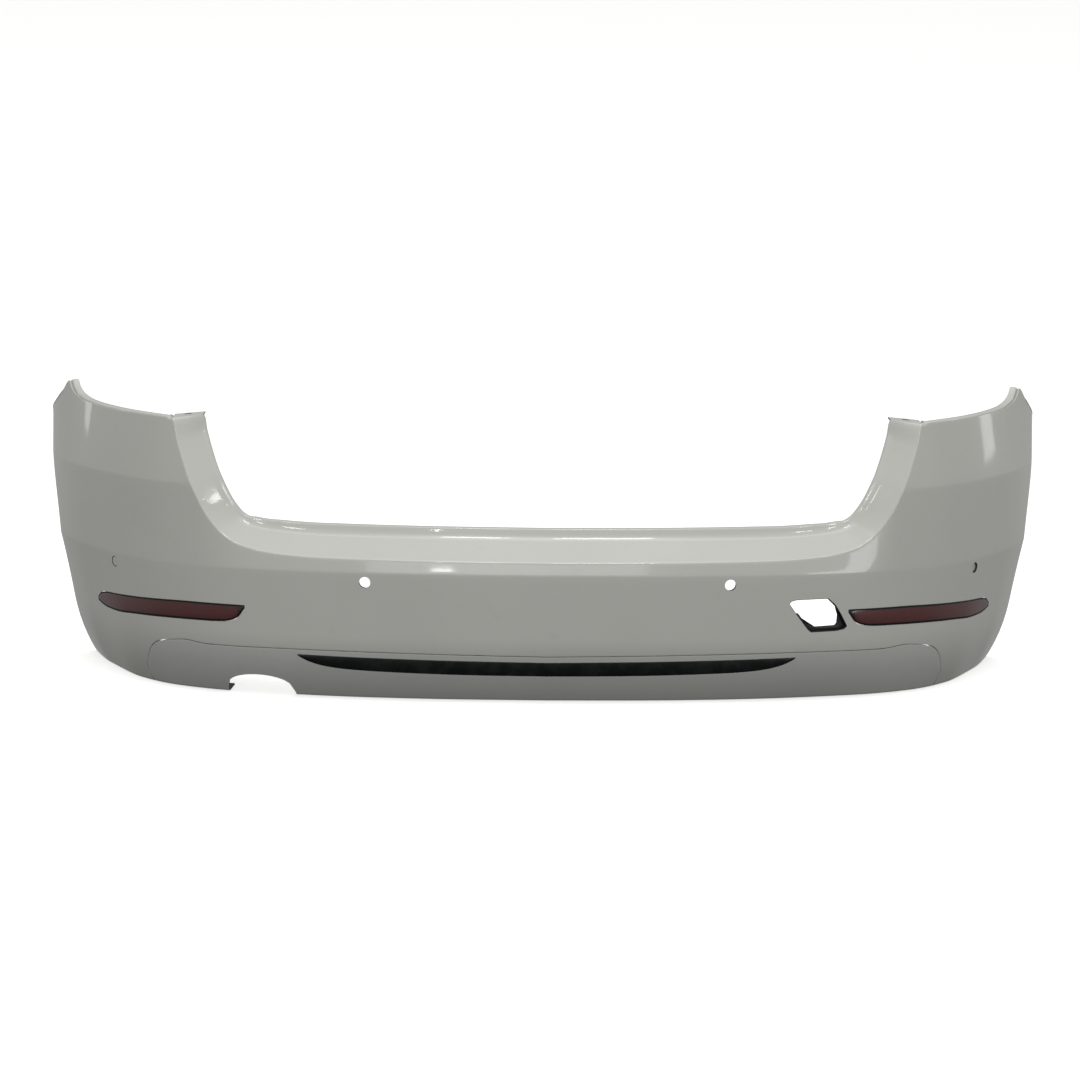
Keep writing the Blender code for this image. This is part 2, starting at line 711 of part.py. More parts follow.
def strip_slab(name, margin, shallow, deep, flange=None):
    """Closed bar along the valance, following the strip's outline with a margin."""
    ends = STRIP_HALF_LENGTH + margin
    shares = [-1, -0.985, -0.96, -0.93, -0.88, -0.8, -0.65, -0.45, -0.22]
    shares += [0.0] + [-share for share in reversed(shares)]
    sections = []
    for share in shares:
        x = share * ends
        side = -1 if x < 0 else 1
        low, top = strip_edges(min(abs(x), STRIP_HALF_LENGTH))
        ring = slab_ring(along_x(x), low - margin, top + margin, shallow, deep, flange)
        sections.append(side_points(ring, side))
    return loft_mesh(name, sections)


def exhaust_outline():
    """Half-round notch, drawn well below the bottom edge."""
    foot = (EXHAUST_HALF_WIDTH, EXHAUST_FOOT)
    splay = (EXHAUST_HALF_WIDTH + 0.006, -CUTTER_REACH)
    points = [splay, foot]
    for k in range(0, 9):
        turn = math.pi * (0.12 + 0.76 * k / 8)
        crown = EXHAUST_FOOT + (EXHAUST_RISE - EXHAUST_FOOT) * math.sin(turn) ** 0.8
        points.append((EXHAUST_HALF_WIDTH * 0.98 * math.cos(turn), crown))
    points += [(-foot[0], foot[1]), (-splay[0], splay[1])]
    return [(EXHAUST_X + x, z) for x, z in points]


def notch_mesh(name, outline, y_low, y_high):
    low = [(x, y_low, z) for x, z in outline]
    high = [(x, y_high, z) for x, z in outline]
    return prism_mesh(name, low, high)


def build_valance(parts, cutters, finish):
    valance = object_of("lower_valance", valance_mesh(), finish, parts)
    mirror = valance.modifiers.new("mirror", "MIRROR")
    mirror.use_axis = (True, False, False)
    mirror.use_mirror_merge = True
    mirror.merge_threshold = 0.0001
    wall = valance.modifiers.new("wall", "SOLIDIFY")
    wall.thickness = WALL
    wall.offset = -1.0
    slot = strip_slab("strip_slot", GAP, -CUTTER_REACH, CUTTER_REACH)
    cut(valance, cutter_of("strip_slot", slot, cutters))
    front = REAR_FACE_Y + EXHAUST_CUT_DEPTH
    notch = notch_mesh("exhaust_notch", exhaust_outline(), REAR_FACE_Y - CUTTER_REACH, front)
    cut(valance, cutter_of("exhaust_notch", notch, cutters))
    for k, x in enumerate(BOTTOM_NUT_XS, 1):
        placed = bottom_flange_frame(x)
        bore = round_bar(f"bottom_bore_{k}", placed, NUT_BORE / 2, -CUTTER_REACH, CUTTER_REACH, 12)
        cut(valance, cutter_of(f"bottom_bore_{k}", bore, cutters))
    return valance


def build_strip(parts, finish):
    back = WALL + CLEAR + STRIP_WEB
    bar = strip_slab("strip", 0.0, -STRIP_PROUD, back, (STRIP_FLANGE, WALL + CLEAR, back))
    return object_of("lower_trim_strip", bar, finish, parts)


# ---------------------------------------------------------------- reflectors and sensor holders


# (share of the length, lower edge, upper edge), the edges below the reflector's top line
REFLECTOR_SHAPE = (
    (0.000, -0.0052, 0.0000), (0.038, -0.0210, 0.0002), (0.076, -0.0275, 0.0002),
    (0.124, -0.0305, 0.0002), (0.331, -0.0325, -0.0002), (0.517, -0.0345, -0.0025),
    (0.707, -0.0385, -0.0070), (0.848, -0.0425, -0.0108), (0.924, -0.0422, -0.0135),
    (0.966, -0.0395, -0.0175), (1.000, -0.0350, -0.0285),
)  # fmt: skip


def reflector_stations():
    """(x, bottom, top) at sections along the reflector, close enough together to follow the curved face."""
    shares, lows, tops = zip(*REFLECTOR_SHAPE)
    between = np.linspace(shares[3], shares[-2], math.ceil(REFLECTOR_LENGTH / REFLECTOR_STEP))
    places = np.union1d(shares[:4], np.append(between, shares[-1]))
    start = from_tip(REFLECTOR_FROM_TIP)
    return [
        (start + share * REFLECTOR_LENGTH, REFLECTOR_TOP + low, REFLECTOR_TOP + top)
        for share, low, top in zip(places, np.interp(places, shares, lows), np.interp(places, shares, tops))
    ]


def reflector_slab(name, side, margin, shallow, deep, flange=None):
    sections = []
    stations = reflector_stations()
    for k, (x, low, top) in enumerate(stations):
        shift = -margin if k == 0 else margin if k == len(stations) - 1 else 0.0
        shrunk = max(top - low + 2 * margin, LEAST_SECTION)
        middle = (top + low) / 2
        along = along_x(x) + shift
        low = middle - shrunk / 2
        top = middle + shrunk / 2
        sections.append(side_points(slab_ring(along, low, top, shallow, deep, flange), side))
    return loft_mesh(name, sections)


def build_reflector(name, side, parts, cutters, lens_finish, housing_finish):
    lens = reflector_slab(f"lens_{name}", side, -REFLECTOR_RIM, -REFLECTOR_PROUD, LENS_THICKNESS)
    object_of(f"reflector_lens_{name}", lens, lens_finish, parts)
    flange = (HOUSING_FLANGE, WALL + CLEAR, WALL + CLEAR + STRIP_WEB)
    body = reflector_slab(f"housing_{name}", side, 0.0, 0.0, HOUSING_DEPTH, flange)
    housing = object_of(f"reflector_base_{name}", body, housing_finish, parts)
    pocket = reflector_slab(
        f"lens_pocket_{name}", side, GAP - REFLECTOR_RIM, -0.01, LENS_THICKNESS + GAP
    )
    cut(housing, cutter_of(f"lens_pocket_{name}", pocket, cutters))
    return housing


def sensor_places():
    outer = from_tip(OUTER_SENSOR_FROM_TIP)
    return {
        "outer_left": -outer,
        "inner_left": -INNER_SENSOR_X,
        "inner_right": INNER_SENSOR_X,
        "outer_right": outer,
    }


def turned_mesh(name, profile, placed):
    """A profile of (radius, height) turned about the local Z of its frame."""
    shape = bmesh.new()
    verts = [shape.verts.new((r, 0.0, z)) for r, z in profile]
    edges = [shape.edges.new(pair) for pair in zip(verts, verts[1:])]
    bmesh.ops.spin(
        shape, geom=verts + edges, cent=(0, 0, 0), axis=(0, 0, 1), angle=math.tau, steps=28, use_merge=True
    )
    bmesh.ops.remove_doubles(shape, verts=shape.verts, dist=1e-6)
    shape.transform(placed)
    return closed_mesh(name, shape)


def build_holder(name, x, parts, finish):
    """Bonded ring behind a sensor hole: a turned profile with a wide foot against the wall."""
    outer = HOLDER_OUTER_DIAMETER / 2
    bore = HOLDER_BORE / 2
    body = bore + HOLDER_WALL
    profile = [(outer, 0.0), (outer, -HOLDER_FOOT), (body, -HOLDER_FOOT)]
    profile += [(body, -HOLDER_LENGTH), (bore, -HOLDER_LENGTH), (bore, 0.0), (outer, 0.0)]
    mesh = turned_mesh(f"holder_{name}", profile, frame_at(x, SENSOR_HEIGHT, WALL + CLEAR))
    return object_of(f"sensor_holder_{name}", mesh, finish, parts)


def build_sensor(name, x, parts, finish):
    """Parking sensor: a painted face in the hole, and a wider barrel in the bore of its holder."""
    recess = SENSOR_RECESS[name]
    collar = -(WALL + CLEAR + recess)
    profile = [(0.0, -recess), (SENSOR_RADIUS - SENSOR_BEVEL, -recess)]
    profile += [(SENSOR_RADIUS, -recess - SENSOR_BEVEL), (SENSOR_RADIUS, collar)]
    profile += [(SENSOR_COLLAR_RADIUS, collar), (SENSOR_COLLAR_RADIUS, -SENSOR_LENGTH), (0.0, -SENSOR_LENGTH)]
    mesh = turned_mesh(f"sensor_{name}", profile, frame_at(x, SENSOR_HEIGHT, 0.0))
    return object_of(f"sensor_{name}", mesh, finish, parts)


# ---------------------------------------------------------------- fasteners


def arch_flange_frame(side, height):
    """On the middle of the arch flange: local X from the root to the free edge, local Z to the wheel."""
    along = arch_at(height)
    step = SLOPE_STEP
    root = face(along, height)
    free = face(along, height, ARCH_FLANGE)
    run = face(arch_at(height + step), height + step) - face(arch_at(height - step), height - step)
    inward = Vector(side_points([free - root], side)[0]).normalized()
    upward = Vector(side_points([run], side)[0]).normalized()
    outward = inward.cross(upward).normalized()
    if outward.y < 0:
        outward = -outward
    upward = outward.cross(inward)
    point = side_points([root + (free - root) * ARCH_NUT_PLACE], side)[0]
    return Matrix.Translation(point) @ Matrix((inward, upward, outward)).transposed().to_4x4()


def bottom_flange_frame(x):
    """On the middle of the bottom flange: local X towards its free edge, local Z down."""
    side = -1 if x < 0 else 1
    along = along_x(x)
    root = side_points([face(along, 0.0)], side)[0]
    free = side_points([bottom_rim(along)], side)[0]
    inward = (Vector(free) - Vector(root)).normalized()
    across = Vector((0, 0, -1)).cross(inward).normalized()
    down = inward.cross(across)
    point = Vector(root).lerp(Vector(free), BOTTOM_NUT_PLACE)
    return Matrix.Translation(point) @ Matrix((inward, across, down)).transposed().to_4x4()


def u_shape(name, placed, length, width, wall, plate, edge, slot):
    """U-shaped spring over the free edge of a wall whose outer face is the frame's local Z = 0."""
    back = edge + GAP
    profile = [
        (back - length, slot), (back, slot), (back, -wall - slot), (back - length, -wall - slot),
        (back - length, -wall - slot - plate), (back + plate, -wall - slot - plate),
        (back + plate, slot + plate), (back - length, slot + plate),
    ]  # fmt: skip
    low = [(x, -width / 2, z) for x, z in profile]
    high = [(x, width / 2, z) for x, z in profile]
    mesh = prism_mesh(name, low, high)
    mesh.transform(placed)
    return mesh


def build_nut(name, placed, edge, slot, parts, cutters, finish):
    mesh = u_shape(name, placed, NUT_LENGTH, NUT_WIDTH, WALL, NUT_PLATE, edge, slot)
    nut = object_of(name, mesh, finish, parts)
    bore = round_bar(f"bore_{name}", placed, NUT_BORE / 2, -CUTTER_REACH, CUTTER_REACH, 16)
    cut(nut, cutter_of(f"bore_{name}", bore, cutters))
    return nut


def seam_clip_frame(x):
    """At the free edges of the two seam flanges: local X inwards, local Z down to the valance's flange."""
    side = -1 if x < 0 else 1
    along = along_x(x)
    height = seam_height(along)
    root = Vector(side_points([face(along, height)], side)[0])
    free = Vector(side_points([face(along, height, SEAM_FLANGE)], side)[0])
    inward = (free - root).normalized()
    down = Vector((0, 0, -1))
    across = down.cross(inward)
    return Matrix.Translation(free) @ Matrix((inward, across, down)).transposed().to_4x4()


def build_seam_clip(name, x, parts, finish):
    placed = seam_clip_frame(x) @ Matrix.Translation((0, 0, WALL + SEAM_GAP))
    mesh = u_shape(name, placed, CLIP_REACH, CLIP_WIDTH, 2 * WALL + SEAM_GAP, NUT_PLATE, GAP, GAP)
    return object_of(name, mesh, finish, parts)


# ---------------------------------------------------------------- assembly


def build_fasteners(parts, cutters, finish):
    arch_back = ARCH_FLANGE * (1 - ARCH_NUT_PLACE) + ARCH_NUT_BACK
    for k, height in enumerate(ARCH_NUT_HEIGHTS, 1):
        for name, side in (("left", -1), ("right", 1)):
            placed = arch_flange_frame(side, height)
            build_nut(f"arch_nut_{name}_{k}", placed, arch_back, NUT_CLEAR, parts, cutters, finish)
    bottom_back = BOTTOM_FLANGE * (1 - BOTTOM_NUT_PLACE) + BOTTOM_NUT_BACK
    for k, x in enumerate(BOTTOM_NUT_XS, 1):
        placed = bottom_flange_frame(x)
        build_nut(f"bottom_nut_{k}", placed, bottom_back, CLEAR, parts, cutters, finish)
    for k, x in enumerate(VALANCE_CLIP_XS, 1):
        build_seam_clip(f"valance_clip_{k}", x, parts, finish)


def build_all():
    clear_scene()
    parts = collection_named(COLLECTION)
    cutters = collection_named("cutters")
    paint = material("painted_skin", (0.62, 0.62, 0.60), 0.25)
    lower_paint = material("painted_valance", (0.60, 0.61, 0.62), 0.30)
    gloss = material("gloss_black", (0.010, 0.011, 0.012), 0.12)
    lens = material("red_lens", (0.16, 0.010, 0.014), 0.20)
    housing = material("black_housing", (0.012, 0.012, 0.013), 0.45)
    holder = material("holder_plastic", (0.030, 0.030, 0.032), 0.55)
    steel = material("spring_steel", (0.32, 0.32, 0.33), 0.40, 1.0)
    build_skin(parts, cutters, paint)
    build_valance(parts, cutters, lower_paint)
    build_strip(parts, gloss)
    for name, side in (("left", -1), ("right", 1)):
        build_reflector(name, side, parts, cutters, lens, housing)
    for name, x in sensor_places().items():
        build_holder(name, x, parts, holder)
        if name in SENSOR_RECESS:
            build_sensor(name, x, parts, paint)
    build_fasteners(parts, cutters, steel)


build_all()
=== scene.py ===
import math

import bmesh
import bpy
import numpy as np
from mathutils import Matrix, Vector


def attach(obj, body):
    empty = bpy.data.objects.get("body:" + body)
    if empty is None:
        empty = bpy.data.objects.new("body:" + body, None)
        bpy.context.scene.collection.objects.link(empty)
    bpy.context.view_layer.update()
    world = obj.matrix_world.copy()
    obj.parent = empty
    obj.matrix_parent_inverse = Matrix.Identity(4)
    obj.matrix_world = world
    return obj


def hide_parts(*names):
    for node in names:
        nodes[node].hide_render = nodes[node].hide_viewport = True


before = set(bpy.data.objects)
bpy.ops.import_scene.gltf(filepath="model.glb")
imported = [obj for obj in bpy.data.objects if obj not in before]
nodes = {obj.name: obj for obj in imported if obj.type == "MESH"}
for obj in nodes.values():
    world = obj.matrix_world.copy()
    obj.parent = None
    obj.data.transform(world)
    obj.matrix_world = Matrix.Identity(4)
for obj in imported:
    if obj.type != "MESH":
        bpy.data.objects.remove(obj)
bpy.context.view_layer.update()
print("frame loaded:", len(nodes), "nodes")

# Places on the cover are (along, height, depth): along the belt curve from the centre line, above the
# lowest edge, and inwards from the painted face. Metres, +X right seen from behind the car, +Y forward.

cover = dict(
    halfWidth=0.950,
    wingDepth=0.611,
    railHeight=0.254,
    earHeight=0.486,
    peakHeight=0.521,
    tipHeight=0.440,
    valanceCrease=0.120,
    beltCrease=0.232,
    earCrease=0.375,
    creaseWidth=0.0030,  # how softly a crease turns
    wall=0.003,
    cornerDepth=0.253,  # rearmost face to the end of the rounded corner
)
rearFaceY = -cover["wingDepth"] / 2


# ---- camera


view = dict(place=(-0.09, -4.8055, 1.076), pitchDown=9.83, turn=0.96, roll=0.6, lens=88.23)


def makeCamera(settings):
    pitch = math.radians(settings["pitchDown"])
    turn = math.radians(settings["turn"])
    roll = math.radians(settings["roll"])
    forward = Vector((math.sin(turn) * math.cos(pitch), math.cos(turn) * math.cos(pitch), -math.sin(pitch)))
    right = Vector((math.cos(turn), -math.sin(turn), 0))
    up = right.cross(forward)
    rolledRight = right * math.cos(roll) + up * math.sin(roll)
    rolledUp = up * math.cos(roll) - right * math.sin(roll)
    data = bpy.data.cameras.new("camera")
    data.lens = settings["lens"]
    data.sensor_width = 36
    data.clip_end = 60
    camera = bpy.data.objects.new("camera", data)
    bpy.context.scene.collection.objects.link(camera)
    turned = Matrix((rolledRight, rolledUp, -forward)).transposed().to_4x4()
    camera.matrix_world = Matrix.Translation(settings["place"]) @ turned
    bpy.context.scene.camera = camera


makeCamera(view)
print("camera placed")


# ---- curves that shape the cover


def smoothThrough(places, knots, values):
    # Monotone cubic through the knots: each cell blends its end values and slopes, and never overshoots.
    knots = np.asarray(knots, float)
    values = np.asarray(values, float)
    steps = np.diff(knots)
    slopes = np.diff(values) / steps
    before, after = slopes[:-1], slopes[1:]
    weightBefore = 2 * steps[1:] + steps[:-1]
    weightAfter = steps[1:] + 2 * steps[:-1]
    sameSign = before * after > 0
    middle = np.zeros(len(before))
    middle[sameSign] = (weightBefore + weightAfter)[sameSign] / (
        weightBefore[sameSign] / before[sameSign] + weightAfter[sameSign] / after[sameSign]
    )
    tangents = np.concatenate([slopes[:1], middle, slopes[-1:]])
    places = np.clip(np.asarray(places, float), knots[0], knots[-1])
    cell = np.clip(np.searchsorted(knots, places, side="right") - 1, 0, len(steps) - 1)
    t = (places - knots[cell]) / steps[cell]
    return (
        values[cell] * (1 + 2 * t) * (1 - t) ** 2
        + tangents[cell] * steps[cell] * t * (1 - t) ** 2
        + values[cell + 1] * t**2 * (3 - 2 * t)
        - tangents[cell + 1] * steps[cell] * t**2 * (1 - t)
    )


def fromTip(distance):
    return cover["halfWidth"] - np.asarray(distance, float)


def beltCurve():
    # The plan curve of the cover: a smooth line through knots, resampled by its own length.
    corner, wing = cover["cornerDepth"], cover["wingDepth"] - cover["cornerDepth"]
    knots = [(0, 0), (0.15, 0.0034), (0.30, 0.014)]
    knots += [(fromTip(0.400), 0.060), (fromTip(0.270), 0.117)]
    knots += [(fromTip(0.190), 0.185), (fromTip(0.135), corner)]
    knots += [(fromTip(0.085), corner + 0.209 * wing), (fromTip(0.045), corner + 0.453 * wing)]
    knots += [(fromTip(0.015), corner + 0.718 * wing), (fromTip(0), corner + wing)]
    knots = np.array(knots, float)
    chords = np.concatenate([[0], np.cumsum(np.hypot(*np.diff(knots, axis=0).T))])
    fine = np.linspace(0, chords[-1], 1200)
    points = np.stack([smoothThrough(fine, chords, knots[:, axis]) for axis in (0, 1)], -1)
    along = np.concatenate([[0], np.cumsum(np.hypot(*np.diff(points, axis=0).T))])
    tangent = np.gradient(points, along, axis=0)
    tangent[0] = (1, 0)
    reach = 20  # points on each side that a tangent is averaged with
    window = np.ones(2 * reach + 1) / (2 * reach + 1)
    padded = np.pad(tangent, ((reach, reach), (0, 0)), mode="reflect", reflect_type="odd")
    tangent = np.stack([np.convolve(padded[:, axis], window, mode="valid") for axis in (0, 1)], -1)
    return along, points, tangent / np.linalg.norm(tangent, axis=1)[:, None]


beltAlong, beltPoints, beltTangents = beltCurve()
tipAt = beltAlong[-1]


def alongX(x):
    return np.interp(np.abs(x), beltPoints[:, 0], beltAlong)


def alongY(y):
    return np.interp(y, beltPoints[:, 1], beltAlong)


def beltPoint(along):
    return np.stack([np.interp(along, beltAlong, beltPoints[:, axis]) for axis in (0, 1)], -1)


def beltInward(along):
    # The belt's tangent turned a quarter turn, so that it points into the car.
    tangent = np.stack([np.interp(along, beltAlong, beltTangents[:, axis]) for axis in (0, 1)], -1)
    tangent /= np.linalg.norm(tangent, axis=-1)[..., None]
    return np.stack([-tangent[..., 1], tangent[..., 0]], -1)


earAt = float(alongX(fromTip(0.273)))
peakAt = float(alongY(cover["wingDepth"] - 0.211))
placeKnots = np.concatenate([[0], alongX(fromTip([0.450, 0.330, 0.190, 0.100, 0.030])), [tipAt]])


def byPlace(along, *values):
    return smoothThrough(along, placeKnots, values)


def softRise(t):
    # Zero below a crease and t above it, rounded over the crease's width:
    # (t + root(t squared + width squared)) / 2.
    return (t + np.sqrt(t * t + cover["creaseWidth"] ** 2)) / 2


def inset(along, height):
    # Distance of the face inwards from the belt curve: lean below the belt crease, roll under the lowest
    # crease, tilt above the belt crease, and more tilt above the ear crease.
    lean = byPlace(along, 0.010, 0.015, 0.022, 0.055, 0.130, 0.170, 0.170)
    roll = byPlace(along, 0.046, 0.044, 0.038, 0.027, 0.024, 0.023, 0.023)
    tilt = byPlace(along, 0.250, 0.220, 0.040, 0.030, 0.010, 0.000, 0.000)
    upper = byPlace(along, 0.160, 0.160, 0.160, 0.160, 0.170, 0.060, 0.000)
    under = softRise(cover["valanceCrease"] - height) / cover["valanceCrease"]
    return (
        lean * softRise(cover["beltCrease"] - height)
        + roll * under**2.2
        + tilt * softRise(height - cover["beltCrease"])
        + upper * softRise(height - cover["earCrease"])
    )


def face(along, height, depth=0.0):
    # Belt point plus the inward direction times the inset and the depth.
    along, height, depth = np.broadcast_arrays(*(np.asarray(v, float) for v in (along, height, depth)))
    xy = beltPoint(along) + beltInward(along) * (inset(along, height) + depth)[..., None]
    return np.stack([xy[..., 0], rearFaceY + xy[..., 1], height], -1)


def topKnots():
    rail, ear, peak, tip = (cover[k] for k in ("railHeight", "earHeight", "peakHeight", "tipHeight"))
    sweep = [(0.560, 0.01), (0.462, 0.034), (0.408, 0.084), (0.380, 0.153)]
    sweep += [(0.3535, 0.276), (0.3205, 0.526), (0.2885, 0.828)]
    knots = [(0, rail)] + [(alongX(fromTip(d)), rail + share * (ear - rail)) for d, share in sweep]
    knots += [(earAt, ear), (alongX(fromTip(0.140)), ear + 0.002), (alongX(fromTip(0.090)), ear + 0.005)]
    knots += [(alongX(fromTip(0.067)), ear + 0.012), (peakAt - 0.008, peak - 0.009), (peakAt, peak)]
    depths = [(0.180, peak - 0.021), (0.111, tip + 0.029), (0.050, tip + 0.014), (0.008, tip)]
    knots += [(alongY(cover["wingDepth"] - d), z) for d, z in depths] + [(tipAt, tip - 0.012)]
    return np.array(knots, float).T


topPlaces, topValues = topKnots()


def topHeight(along):
    return smoothThrough(along, topPlaces, topValues)


seam = dict(height=0.089, gap=0.0012, endFromTip=0.217, flange=0.012, radius=0.0013)
seamEndAt = float(alongX(fromTip(seam["endFromTip"])))


def seamHeight(along):
    ends = [(0.350, 0.003), (0.308, 0.007), (0.282, 0.004), (0.254, -0.003), (0.240, -0.013), (0.227, -0.033)]
    places = [0, alongX(0.43)] + [alongX(fromTip(d)) for d, rise in ends] + [seamEndAt]
    rises = [0, 0.004] + [rise for d, rise in ends] + [-0.055]
    return seam["height"] + smoothThrough(along, places, rises)


arch = dict(
    centreHeight=0.110,
    radius=0.370,
    beyondTip=0.169,
    flange=0.024,
    leastFlange=0.0015,
    edgeRadius=0.003,
)
bottom = dict(flange=0.022, rise=0.0065, radius=0.0045)


def archAt(height):
    # Where the wheel arch, a circle seen from the side, crosses a height.
    drop = np.minimum(np.abs(height - arch["centreHeight"]), arch["radius"] * 0.999)
    back = np.sqrt(arch["radius"] ** 2 - drop**2)
    return np.minimum(alongY(cover["wingDepth"] + arch["beyondTip"] - back), tipAt)


def archTaper(height):
    upper = np.clip((cover["tipHeight"] - height) / 0.060, 0, 1)
    return upper * np.clip((height - 0.015) / 0.030, 0, 1)


def bottomRim(along):
    return face(along, 0.0, bottom["flange"]) + np.array([0, 0, bottom["rise"]])


# ---- openings, each as a lower and an upper line over a stretch of the face


def lineOpening(along, low, high):
    # An opening closed at both ends: its lines meet a fifth of a millimetre beyond the first and last place.
    first, last = (low[0] + high[0]) / 2, (low[-1] + high[-1]) / 2
    along = np.concatenate([[along[0] - 0.0002], along, [along[-1] + 0.0002]])
    return along, np.concatenate([[first], low, [last]]), np.concatenate([[first], high, [last]])


sensor = dict(radius=0.00975, height=0.216, xs=(0.318, 0.778))


def sensorOpening(x):
    # A circle on the face: along = r cos, height = r sin.
    turn = np.linspace(math.pi, 0, 19)
    rise = sensor["radius"] * np.sin(turn)
    along = alongX(x) + sensor["radius"] * np.cos(turn)
    return lineOpening(along, sensor["height"] - rise, sensor["height"] + rise)


reflector = dict(
    fromTip=0.419,
    length=0.296,
    top=0.1662,
    gap=0.0006,
    rim=0.0022,
    proud=0.0008,
    lensDeep=0.0055,
    deep=0.015,
    stations=72,
)


def reflectorEdges(share):
    # (along, lower edge, upper edge) at shares of the reflector's length, smooth through its outline.
    knots = [0, 0.038, 0.076, 0.124, 0.331, 0.517, 0.707, 0.848, 0.924, 0.966, 1]
    low = [-0.0052, -0.0210, -0.0275, -0.0305, -0.0325, -0.0345, -0.0385, -0.0425, -0.0422, -0.0395, -0.0350]
    top = [0, 0.0002, 0.0002, 0.0002, -0.0002, -0.0025, -0.0070, -0.0108, -0.0135, -0.0175, -0.0285]
    x = fromTip(reflector["fromTip"]) + share * reflector["length"]
    return (
        alongX(x),
        reflector["top"] + smoothThrough(share, knots, low),
        reflector["top"] + smoothThrough(share, knots, top),
    )


def reflectorShares(count=64):
    # More sections where the outline turns: the ends.
    t = np.linspace(0, 1, count)
    return t - 0.75 * np.sin(2 * math.pi * t) / (2 * math.pi)


def reflectorOpening():
    along, low, high = reflectorEdges(reflectorShares())
    along[0] -= reflector["gap"]
    along[-1] += reflector["gap"]
    return lineOpening(along, low - reflector["gap"], high + reflector["gap"])


tow = dict(x=0.4765, height=0.158, wall=0.0022, depth=0.011)


def towEdges():
    # The eye's opening has four slanted sides and cut corners: its lower chain and its upper chain.
    low = [(-0.0535, 0.0220), (-0.0395, 0.0020), (-0.0185, -0.0255), (-0.0125, -0.0300), (0.0325, -0.0290)]
    low += [(0.0475, -0.0265), (0.0525, -0.0210)]
    high = [(-0.0535, 0.0220), (-0.0500, 0.0270), (-0.0405, 0.0295), (0.0115, 0.0305), (0.0175, 0.0300)]
    high += [(0.0305, 0.0180), (0.0415, 0.0000), (0.0525, -0.0210)]
    return np.array(low), np.array(high)


def towOpening():
    low, high = towEdges()
    xs = np.union1d(np.linspace(low[0, 0], low[-1, 0], 34), np.concatenate([low[:, 0], high[:, 0]]))
    lower = tow["height"] + np.interp(xs, *low.T)
    upper = tow["height"] + np.interp(xs, *high.T)
    return lineOpening(alongX(tow["x"] + xs), lower, upper)


strip = dict(halfLength=0.437, top=0.0775, bottom=0.052, rise=0.0055, gap=0.0006, proud=0.0008, deep=0.0055)


def stripEdges(share):
    # (lower edge, upper edge) of a long lens that tapers to raised tips.
    top = strip["top"] + strip["rise"] * share**1.2
    return strip["bottom"] + 0.009 * share**2 + (strip["top"] - strip["bottom"] - 0.005) * share**14, top


def stripOpening():
    share = np.sin(np.linspace(0, math.pi / 2, 70))
    low, top = stripEdges(share)
    along = alongX(share * (strip["halfLength"] + strip["gap"]))
    along, low, top = lineOpening(along, low - strip["gap"], top + strip["gap"])
    return along[1:], low[1:], top[1:]


def splitLines(openings, level):
    # Joins openings into one pair of lines over the whole half: outside the openings the two lines are one.
    along = np.concatenate([o[0] for o in openings])
    low = np.concatenate([o[1] for o in openings])
    high = np.concatenate([o[2] for o in openings])
    if level is not None:
        along = np.concatenate([[0], along, [tipAt]])
        low, high = (np.concatenate([[level], v, [level]]) for v in (low, high))
    return along, low, high


def linesAt(lines, along):
    return np.interp(along, lines[0], lines[1]), np.interp(along, lines[0], lines[2])


# ---- grids


def crowded(count):
    # Shares from 0 to 1 that crowd towards both ends: (1 - cos) / 2.
    return (1 - np.cos(np.linspace(0, math.pi, count + 1))) / 2


def between(low, high, shares):
    # Grid of values from one line to another, one column per place.
    return low[:, None] + (high - low)[:, None] * shares


def unit(v):
    return v / np.maximum(np.linalg.norm(v, axis=-1), 1e-9)[..., None]


def roundedCorner(before, corner, after, radius, count=5):
    # Quadratic curve that starts a radius before the corner, ends a radius after it and is pulled to it.
    toBefore, toAfter = before - corner, after - corner
    reachBefore = np.minimum(radius, 0.48 * np.linalg.norm(toBefore, axis=-1))[..., None]
    reachAfter = np.minimum(radius, 0.48 * np.linalg.norm(toAfter, axis=-1))[..., None]
    a = corner + unit(toBefore) * reachBefore
    b = corner + unit(toAfter) * reachAfter
    t = np.linspace(0, 1, count)[:, None]
    a, c, b = a[..., None, :], corner[..., None, :], b[..., None, :]
    return (1 - t) ** 2 * a + 2 * t * (1 - t) * c + t**2 * b


def straightRows(start, end, count):
    # The rows strictly between two lines.
    t = np.linspace(0, 1, count + 2)[1:-1, None]
    return start[:, None] + (end - start)[:, None] * t


def columnsFor(start, end, step, knots):
    # Even columns, and a column at every knot, with no two closer than a millimetre and a bit.
    knots = knots[(knots >= start) & (knots <= end)]
    even = np.linspace(start, end, int(math.ceil((end - start) / step)) + 1)
    if len(knots):
        far = np.abs(even[:, None] - knots).min(1) > 0.0012
        far[[0, -1]] = True
        even = even[far]
        knots = knots[(np.abs(knots - start) > 1e-6) & (np.abs(knots - end) > 1e-6)]
    return np.sort(np.concatenate([even, knots]))


def turnedRim(base, corner, rim, radius, steps=2):
    # From the base line round a corner of the given radius, then straight to the rim line.
    turn = roundedCorner(base, corner, rim, radius)
    turn[:, 0] = base
    return np.concatenate([turn, straightRows(turn[:, -1], rim, steps), rim[:, None]], 1)


# Stores a value for each point: painted shade in the skin's lamp groove, and the clear rim of a reflector
# lens.
def setShadeAndLensRim(mesh, values):
    mesh.attributes.new("grime", "FLOAT", "POINT").data.foreach_set("value", values.astype(np.float32))


